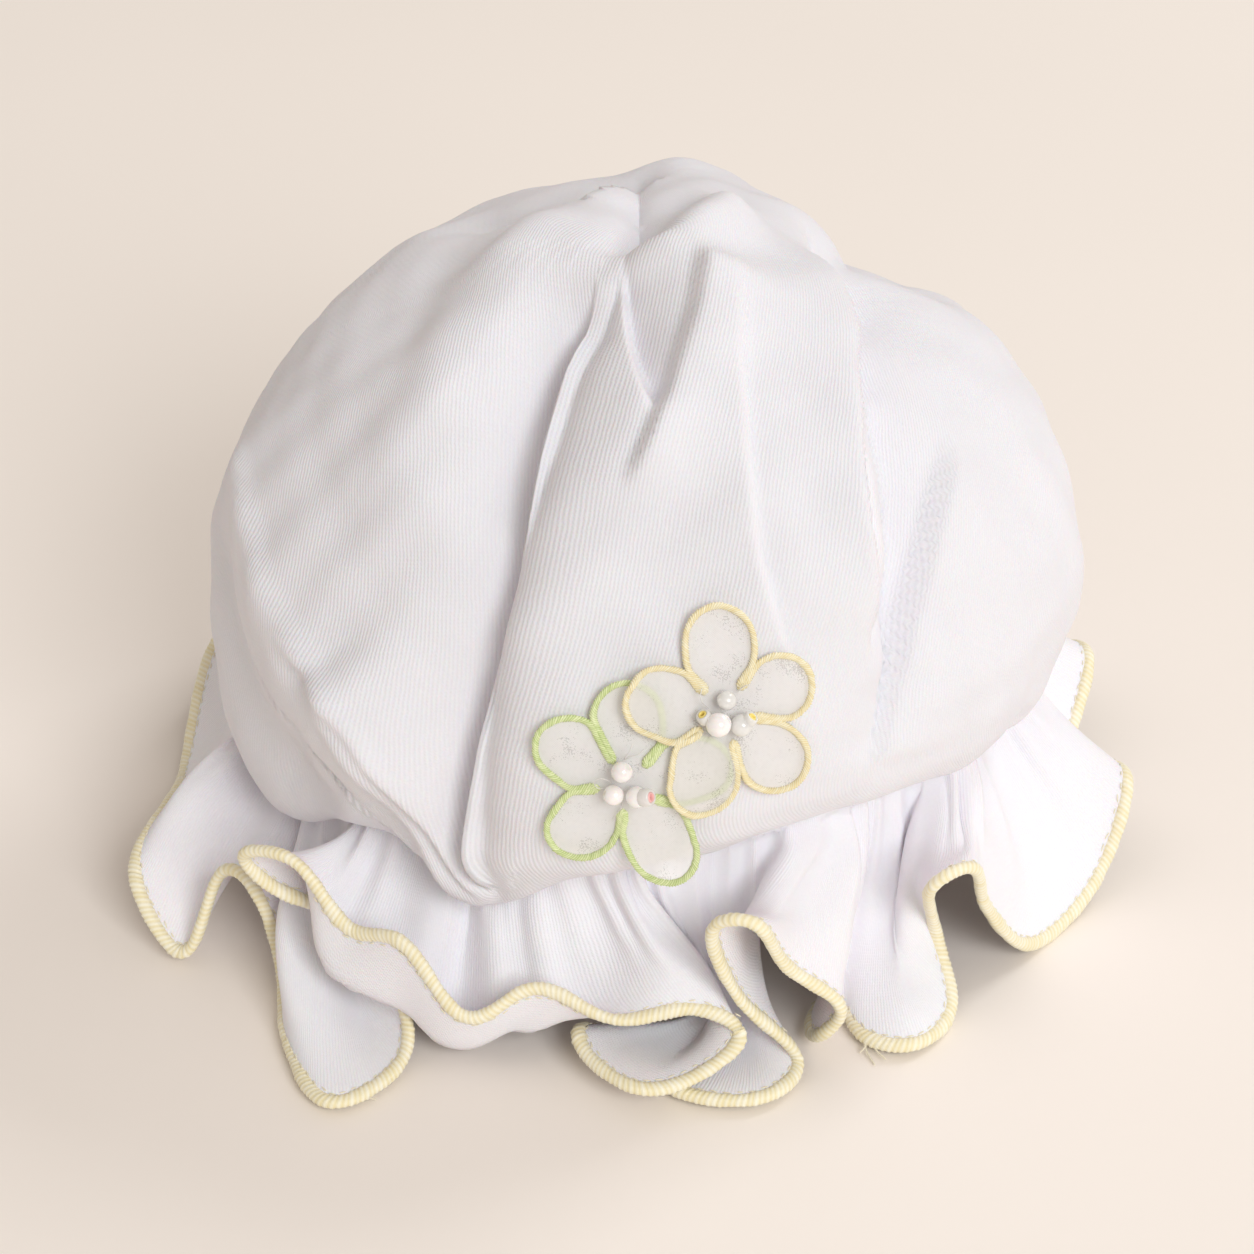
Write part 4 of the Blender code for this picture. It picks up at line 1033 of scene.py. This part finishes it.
def makeDashes(edge):
    # Needle thread along the inner side of the hem, on both faces of the cloth
    draw = random.Random(12)
    count = int(edge[3] / hem["dashPitch"])
    where = (np.arange(count) + 0.5) / count * edge[3]
    mesh = bmesh.new()
    for centre, ahead, cloth, face in zip(*frameAlong(edge, where)):
        for side in (-1.0, 1.0):
            axis = unit(ahead + cloth * draw.uniform(-0.25, 0.25))
            middle = centre + cloth * (hem["width"] / 2.0 + draw.uniform(-0.0001, 0.0002))
            middle = middle + face * side * (ruffle["cloth"] / 2.0 + hem["dashWidth"] * 0.35)
            made = bmesh.ops.create_uvsphere(mesh, u_segments=6, v_segments=4, radius=1.0)["verts"]
            width = hem["dashWidth"] / 2.0
            length = hem["dashLength"] / 2.0 * draw.uniform(0.7, 1.1)
            bmesh.ops.scale(mesh, vec=(width, width, length), verts=made)
            bmesh.ops.transform(mesh, matrix=turnedTo(axis, middle), verts=made)
    return addPiece("hemDashes", mesh, [dashThread], "overlock")


def addThread(mesh, path, thickness):
    # A loose strand, drawn to a point at both ends
    path = np.array(path)
    fine = np.linspace(0.0, 1.0, 6 * len(path))
    line = readLine(path, np.linspace(0.0, 1.0, len(path)), fine)
    for _ in range(4):
        line[1:-1] = (line[:-2] + line[1:-1] + line[2:]) / 3.0
    ahead = unit(np.gradient(line, axis=0))
    side = unit(np.cross(ahead, (0.31, 0.52, 0.79)))
    other = np.cross(ahead, side)
    last = len(line) - 1
    made = bmesh.ops.create_grid(mesh, x_segments=last, y_segments=6, size=0.5)["verts"]
    for vert in made:
        k = int(round((vert.co.x + 0.5) * last))
        angle = (vert.co.y + 0.5) * fullTurn
        radius = 0.0 if k in (0, last) else thickness / 2.0
        vert.co = line[k] + radius * (math.cos(angle) * side[k] + math.sin(angle) * other[k])
    bmesh.ops.remove_doubles(mesh, verts=made, dist=1e-7)


def makeHemEnds(edge):
    line, inward, distance, total = edge
    mesh = bmesh.new()
    for share, length, lean in hemEnds:
        where = np.array([share * total])
        start = readLine(line, distance, where, total)[0]
        ahead = unit(readLine(line, distance, where + directionReach, total)[0] - start)
        outward = -unit(readLine(inward, distance, where, total)[0])
        path = [start + length * (far * outward + lean * far * far * ahead)
                for far in (0.0, 0.4, 0.7, 1.0)]
        path = [(x, y, max(z, hem["endFloor"])) for x, y, z in path]
        addThread(mesh, path, hem["endWidth"])
    return addPiece("hemEnds", mesh, [dashThread], "overlock")


# Flowers: organza petals in a cord of satin stitch, each with its beads

petal = {
    "halfWidth": 0.0047,
    "notchOuter": 0.0078,
    "notchInner": 0.0041,
    "notchGap": 0.00033,
    "points": 480,
    "rings": 10,
    "lift": 0.0007,
    "liftStarts": (0.007, 0.008),
    "clearance": 0.0002,
}

# The rounded end of a petal: share of its length, share of its half width
petalEnd = ((0.655, -1.0), (0.83, -0.86), (0.95, -0.50), (1.0, 0.0),
            (0.95, 0.50), (0.83, 0.86), (0.655, 1.0))

petalCord = {
    "width": 0.00112,
    "thickness": 0.00088,
    "threadPitch": 0.00037,
    "slant": 0.00040,
    "sides": 8,
    "valley": 0.76,
    "lumps": 0.10,
}

# Where each flower lies on the crown, and the turn and length of its petals
flowerPlaces = {
    "green": (-1.5, 0.600, [(-135.0, 0.0147), (-68.5, 0.0168), (11.0, 0.0147),
                            (86.0, 0.0149), (143.5, 0.0142)]),
    "yellow": (10.2, 0.522, [(-111.5, 0.0152), (-49.5, 0.0150), (19.0, 0.0128),
                             (90.0, 0.0149), (164.0, 0.0139)]),
}

# A flower lies on a soft sheet over the cloth below. Rays find that cloth. Where
# they miss it, or it lies deeper than the sheet may sink, the sheet follows a
# smooth bowl through the other places.
seat = {
    "reach": 0.019,
    "steps": 76,
    "smoothing": 26,
    "lowest": -0.0022,
    "rayStart": 0.03,
    "farthest": 0.007,
    "sink": 0.0008,
}


def castHeights(placed, x, y, trees):
    centre, right, up, normal = placed
    start = seat["rayStart"]
    heights = np.full(x.shape, np.nan)
    for k in np.ndindex(x.shape):
        origin = Vector(centre + right * x[k] + up * y[k] + normal * start)
        for tree in trees:
            far = tree.ray_cast(origin, Vector(-normal), 2.0 * start)[3]
            if far is not None and not heights[k] > start - far:
                heights[k] = start - far
    return heights


def makeSeat(azimuth, v, trees, shift):
    # The sheet's place and directions, and its heights as a small grid
    turn, share, spread = np.array([math.radians(azimuth)]), np.array([v]), 0.05
    centre = crownPoints(turn, share)[0] + shift
    beside = crownPoints(turn + spread, share)[0] - crownPoints(turn - spread, share)[0]
    below = crownPoints(turn, share + spread)[0] - crownPoints(turn, share - spread)[0]
    normal = unit(np.cross(below, beside))
    right = unit(beside - (beside @ normal) * normal)
    placed = (centre, right, np.cross(normal, right), normal)
    ticks = np.linspace(-seat["reach"], seat["reach"], seat["steps"] + 1)
    x, y = np.meshgrid(ticks, ticks, indexing="ij")
    raw = castHeights(placed, x, y, trees)
    known = np.isfinite(raw) & (np.abs(np.nan_to_num(raw)) < seat["farthest"])
    terms = np.stack([np.ones(x.shape), x, y, x * x, x * y, y * y], axis=-1)
    bowl = terms @ np.linalg.lstsq(terms[known], raw[known], rcond=None)[0]
    raw = np.fmax(np.where(known, raw, bowl), bowl - seat["sink"])
    raw = np.fmax(raw, seat["lowest"])
    sheet = raw.copy()
    for _ in range(seat["smoothing"]):
        padded = np.pad(sheet, 1, mode="edge")
        around = sum(padded[i:i + sheet.shape[0], j:j + sheet.shape[1]]
                     for i in range(3) for j in range(3)) / 9.0
        sheet = np.fmax(raw, around)
    return placed, sheet


def onSeat(place, x, y, lift):
    # Points of the sheet at x, y, raised by lift
    (centre, right, up, normal), sheet = place
    last = seat["steps"]
    gx, gy = (np.clip((np.asarray(run) / seat["reach"] + 1.0) / 2.0 * last, 0.0, last - 0.001)
              for run in (x, y))
    i, j = gx.astype(int), gy.astype(int)
    s, t = gx - i, gy - j
    height = ((1 - s) * (1 - t) * sheet[i, j] + s * (1 - t) * sheet[i + 1, j]
              + (1 - s) * t * sheet[i, j + 1] + s * t * sheet[i + 1, j + 1])
    rise = petal["lift"] * smoothFrom(np.hypot(x, y), *petal["liftStarts"])
    flat = np.asarray(x)[..., None] * right + np.asarray(y)[..., None] * up
    return centre + flat + (height + rise + lift)[..., None] * normal


def atAngle(radius, angle):
    return radius * np.array([math.cos(angle), math.sin(angle)])


def petalOutline(petals):
    # Round one petal, in along the notch, a tight turn, and out to the next
    outer, inner = petal["notchOuter"], petal["notchInner"]
    notch = (outer, 0.5 * (outer + inner), inner + 0.0005)
    turns = [math.radians(turn) for turn, reach in petals]
    turns = [turns[-1] - fullTurn, *turns, turns[0] + fullTurn]
    points = []
    for k, (_, reach) in enumerate(petals):
        before, after = 0.5 * (turns[k] + turns[k + 1]), 0.5 * (turns[k + 1] + turns[k + 2])
        ahead = atAngle(1.0, turns[k + 1])
        aside = np.array([-ahead[1], ahead[0]])
        points += [atAngle(r, before + petal["notchGap"] / r) for r in notch[::-1]]
        points += [ahead * far * reach + aside * wide * petal["halfWidth"]
                   for far, wide in petalEnd]
        points += [atAngle(r, after - petal["notchGap"] / r) for r in notch]
        points.append(atAngle(inner, after))
    points = np.array(points)
    knots = runningSum(lengthOf(roundSteps(points)) ** 0.6)
    rough = splineThrough(points, knots, np.linspace(0.0, knots[-1], 3000, endpoint=False))
    travelled = runningSum(lengthOf(roundSteps(rough)))
    even = np.linspace(0.0, travelled[-1], petal["points"], endpoint=False)
    return readLine(np.concatenate([rough, rough[:1]]), travelled, even)


def makePetals(name, place, outline, material):
    count, rings = len(outline), petal["rings"]
    mesh, around, down = startGrid(count, rings)
    column = np.rint(around * count).astype(int) % count
    x, y = outline[column].T * down
    points = onSeat(place, x, y, petal["clearance"] + petalCord["thickness"] * 0.45)
    placeGrid(mesh, points, x, y)
    closeGrid(mesh)
    piece = addPiece(name + "Petals", mesh, [material], name + "_organza", [name + "_petals"])
    facing = sum((face.normal for face in piece.data.polygons), Vector())
    if facing.dot(Vector(place[0][3])) < 0.0:
        piece.data.flip_normals()
    return piece


def makePetalCord(name, place, outline, material):
    line = onSeat(place, *outline.T, petal["clearance"] + petalCord["thickness"] * 0.5)
    lengths = lengthOf(roundSteps(line))
    ahead = unit(np.roll(line, -1, axis=0) - np.roll(line, 1, axis=0))
    side = unit(np.cross(place[0][3], ahead))
    edge = (line, side, runningSum(lengths)[:-1], lengths.sum())
    return addPiece(name + "Outline", windCord(edge, petalCord, 21), [material],
                    name + "_satin", [name + "_outline"])


# Beads: pearls, and glass beads with a coloured hole

beads = {
    "stand": 0.0003,
    "thread": 0.00016,
    "pearlTilt": 0.35,
    "glassTilt": 0.45,
    "dimple": 0.82,
    "hole": 0.44,
    "height": 0.80,
    "liningSize": 0.62,
    "liningHole": 0.24,
    "liningHeight": 0.84,
}

# Kind, place beside the flower's centre, height above the cloth, size, and the
# turn of the hole in degrees
beadPlaces = {
    "green": [("pearl", -0.0003, 0.0030, 0.0, 0.0030, 40.0),
              ("pearl", -0.0017, -0.0005, 0.0, 0.0029, 150.0),
              ("pearl", 0.0015, -0.0008, 0.0, 0.0031, -20.0),
              ("pink", 0.0028, -0.0005, 0.0010, 0.0026, 15.0)],
    "yellow": [("pearl", -0.0013, -0.0007, 0.0004, 0.0035, 30.0),
               ("gold", -0.0030, 0.0002, 0.0002, 0.0022, 120.0),
               ("milky", 0.0002, 0.0022, 0.0, 0.0027, -60.0),
               ("milky", 0.0019, -0.0014, 0.0, 0.0031, 10.0),
               ("gold", 0.0030, -0.0006, 0.0010, 0.0021, 50.0)],
}

# Bare nylon: x, y beside the flower's centre and height above the cloth, in
# millimetres
threadEnds = {
    "green": [[(-1.9, 0.7, 0.8), (-2.3, 1.5, 1.5), (-3.2, 2.1, 2.0), (-4.1, 1.8, 1.9),
               (-4.3, 0.9, 1.6), (-3.7, 0.1, 1.2), (-2.8, -0.1, 0.7)],
              [(-0.1, 4.2, 0.8), (0.2, 5.0, 1.8), (0.9, 5.9, 2.4), (1.4, 7.0, 2.2)],
              [(0.1, 4.2, 0.8), (0.8, 4.9, 1.5), (2.0, 5.2, 1.9), (3.0, 6.0, 1.6)],
              [(-0.6, -2.0, 0.5), (-0.9, -3.0, 1.2), (-1.9, -4.0, 1.5), (-2.4, -5.2, 1.1)]],
    "yellow": [[(-2.2, 1.0, 0.6), (-3.0, 1.9, 1.6), (-3.4, 3.0, 1.8), (-3.0, 4.2, 1.4)],
               [(1.8, 2.9, 0.8), (2.6, 3.9, 1.7), (3.7, 4.2, 1.8)]],
}


def addPearl(mesh, axis, middle, size):
    # A ball with a dimple at each end of its hole
    made = bmesh.ops.create_uvsphere(mesh, u_segments=20, v_segments=14, radius=size / 2.0)["verts"]
    ends = [v for v in made if math.hypot(v.co.x, v.co.y) < size * 0.01]
    bmesh.ops.scale(mesh, vec=(1.0, 1.0, beads["dimple"]), verts=ends)
    bmesh.ops.transform(mesh, matrix=turnedTo(axis, middle), verts=made)


def addRing(mesh, axis, middle, size, hole, height, index):
    # A glass bead: a rounded ring with an open hole
    before = set(mesh.faces)
    made = bmesh.ops.create_circle(mesh, segments=10, radius=1.0)["verts"]
    bmesh.ops.scale(mesh, vec=((size - hole) / 4.0, height / 2.0, 1.0), verts=made)
    bmesh.ops.translate(mesh, vec=((size + hole) / 4.0, 0.0, 0.0), verts=made)
    edges = list({e for v in made for e in v.link_edges})
    bmesh.ops.spin(mesh, geom=made + edges, cent=(0.0, 0.0, 0.0), axis=(0.0, 1.0, 0.0),
                   angle=fullTurn, steps=20, use_merge=True)
    verts = list({v for f in mesh.faces if f not in before for v in f.verts})
    bmesh.ops.remove_doubles(mesh, verts=verts, dist=1e-7)
    faces = [f for f in mesh.faces if f not in before]
    for face in faces:
        face.material_index = index
    upright = Vector((0.0, 1.0, 0.0)).rotation_difference(Vector(axis)).to_matrix().to_4x4()
    upright.translation = Vector(middle)
    verts = list({v for f in faces for v in f.verts})
    bmesh.ops.transform(mesh, matrix=upright, verts=verts)


def makeBeads(name, place):
    pearls, glass, bare = bmesh.new(), bmesh.new(), bmesh.new()
    right, up, normal = (Vector(place[0][k]) for k in (1, 2, 3))
    seam = petalCord["thickness"] * 0.5
    for kind, x, y, raised, size, turn in beadPlaces[name]:
        lift = petal["clearance"] + beads["stand"] + raised + size / 2.0
        middle = onSeat(place, x, y, seam + lift)
        flat = right * math.cos(math.radians(turn)) + up * math.sin(math.radians(turn))
        if kind in ("pearl", "milky"):
            addPearl(pearls if kind == "pearl" else glass, flat + normal * beads["pearlTilt"],
                     middle, size)
        else:
            axis = (flat + normal * beads["glassTilt"]).normalized()
            addRing(glass, axis, middle, size, size * beads["hole"], size * beads["height"], 0)
            addRing(glass, axis, middle, size * beads["liningSize"], size * beads["liningHole"],
                    size * beads["liningHeight"], {"gold": 1, "pink": 2}[kind])
    for path in threadEnds[name]:
        x, y, rise = np.array(path).T / 1000.0
        addThread(bare, onSeat(place, x, y, seam + rise), beads["thread"])
    replaced = [f"{name}_pearl_{k}" for k in (1, 2, 3)]
    return [addPiece(name + "Pearls", pearls, [pearlGloss], "pearl", replaced),
            addPiece(name + "Glass", glass, [milkGlass, goldLining, pinkLining], "pearl"),
            addPiece(name + "Nylon", bare, [nylon], "pearl")]


# Build the cap. Its CAD model was centred on the floor, so the same move is
# read from the hem's box.

hemCurve = ruffleControls(2400)[2]
hemLow, hemHigh = (np.array(corner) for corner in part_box("ruffle_hem"))
shift = (hemLow + hemHigh) / 2.0 - (hemCurve.min(axis=0) + hemCurve.max(axis=0)) / 2.0
print("cap moved by", shift)

crownCloth = makeCrown(shift)
print("crown made")
ruffleCloth, hemEdge = makeRuffle(shift)
print("ruffle made, hem length", round(hemEdge[3], 4))
hemThread = addPiece("hemThread", windCord(hemEdge, hem, 11), [overlockThread], "overlock",
                     ["ruffle_hem"])
hemDashes = makeDashes(hemEdge)
looseEnds = makeHemEnds(hemEdge)
print("hem made")

trees = treeOf(crownCloth)
for name, veil, satin in (("green", greenOrganza, greenSatin),
                          ("yellow", yellowOrganza, yellowSatin)):
    azimuth, v, petals = flowerPlaces[name]
    place = makeSeat(azimuth, v, trees, shift)
    outline = petalOutline(petals)
    cloth = makePetals(name, place, outline, veil)
    cord = makePetalCord(name, place, outline, satin)
    trees += treeOf(cloth, cord)
    stitched = [cord] + makeBeads(name, place)
    print(name, "flower made, cloth area", round(clothArea(cloth), 6))

print("cloth areas", round(clothArea(crownCloth), 5), round(clothArea(ruffleCloth), 5))


# Floor, light and camera

studio = {
    "floorColour": (0.965, 0.905, 0.850),
    "worldColour": (1.0, 0.91, 0.82),
    "worldStrength": 0.51,
    "lightColour": (0.98, 0.99, 1.0),
    "lightTarget": (0.0, 0.0, 0.04),
    "lights": {"key": ((1.00, 0.80, 1.32), 0.60, 7.5),      # place, size, energy
               "fill": ((1.00, -1.95, 1.45), 1.2, 35.0)},
    "elevation": 33.0,
    "distance": 0.472,
    "lens": 85.0,
    "target": (-0.0018, 0.0, 0.033),
}


def makeFloor():
    mesh = bmesh.new()
    bmesh.ops.create_grid(mesh, x_segments=8, y_segments=8, size=2.0)
    material, tree, shader = newMaterial("floor", {"Roughness": 0.8})
    cloud = noiseNode(tree, clothCoordinates(tree)[0], 6.0)
    low = [c * 0.985 for c in studio["floorColour"]]
    colourRamp(tree, shader, cloud, (0.3, low), (0.7, studio["floorColour"]))
    floor = addObject("floor", meshData("floor", mesh, [material]))


def addAimed(name, data, place, direction):
    made = addObject(name, data)
    made.location = place
    made.rotation_euler = direction.to_track_quat("-Z", "Y").to_euler()
    return made


def addArea(name, place, size, energy):
    light = bpy.data.lights.new(name, "AREA")
    light.energy = energy
    light.size = size
    light.color = studio["lightColour"]
    addAimed(name, light, place, Vector(studio["lightTarget"]) - Vector(place))


def makeCamera():
    data = bpy.data.cameras.new("camera")
    data.lens = studio["lens"]
    data.sensor_width = 36.0
    tilt = math.radians(studio["elevation"])
    target = Vector(studio["target"]) + Vector(shift)
    away = Vector((0.0, -math.cos(tilt), math.sin(tilt)))
    bpy.context.scene.camera = addAimed("camera", data, target + away * studio["distance"], -away)


def makeWorld():
    world = bpy.data.worlds.new("studio")
    world.use_nodes = True
    background = world.node_tree.nodes["Background"]
    background.inputs["Color"].default_value = (*studio["worldColour"], 1.0)
    background.inputs["Strength"].default_value = studio["worldStrength"]
    bpy.context.scene.world = world


makeFloor()
for name, (place, size, energy) in studio["lights"].items():
    addArea(name + " light", place, size, energy)
makeWorld()
makeCamera()
bpy.context.scene.view_settings.view_transform = "Standard"
print("studio made")

bpy.context.view_layer.update()
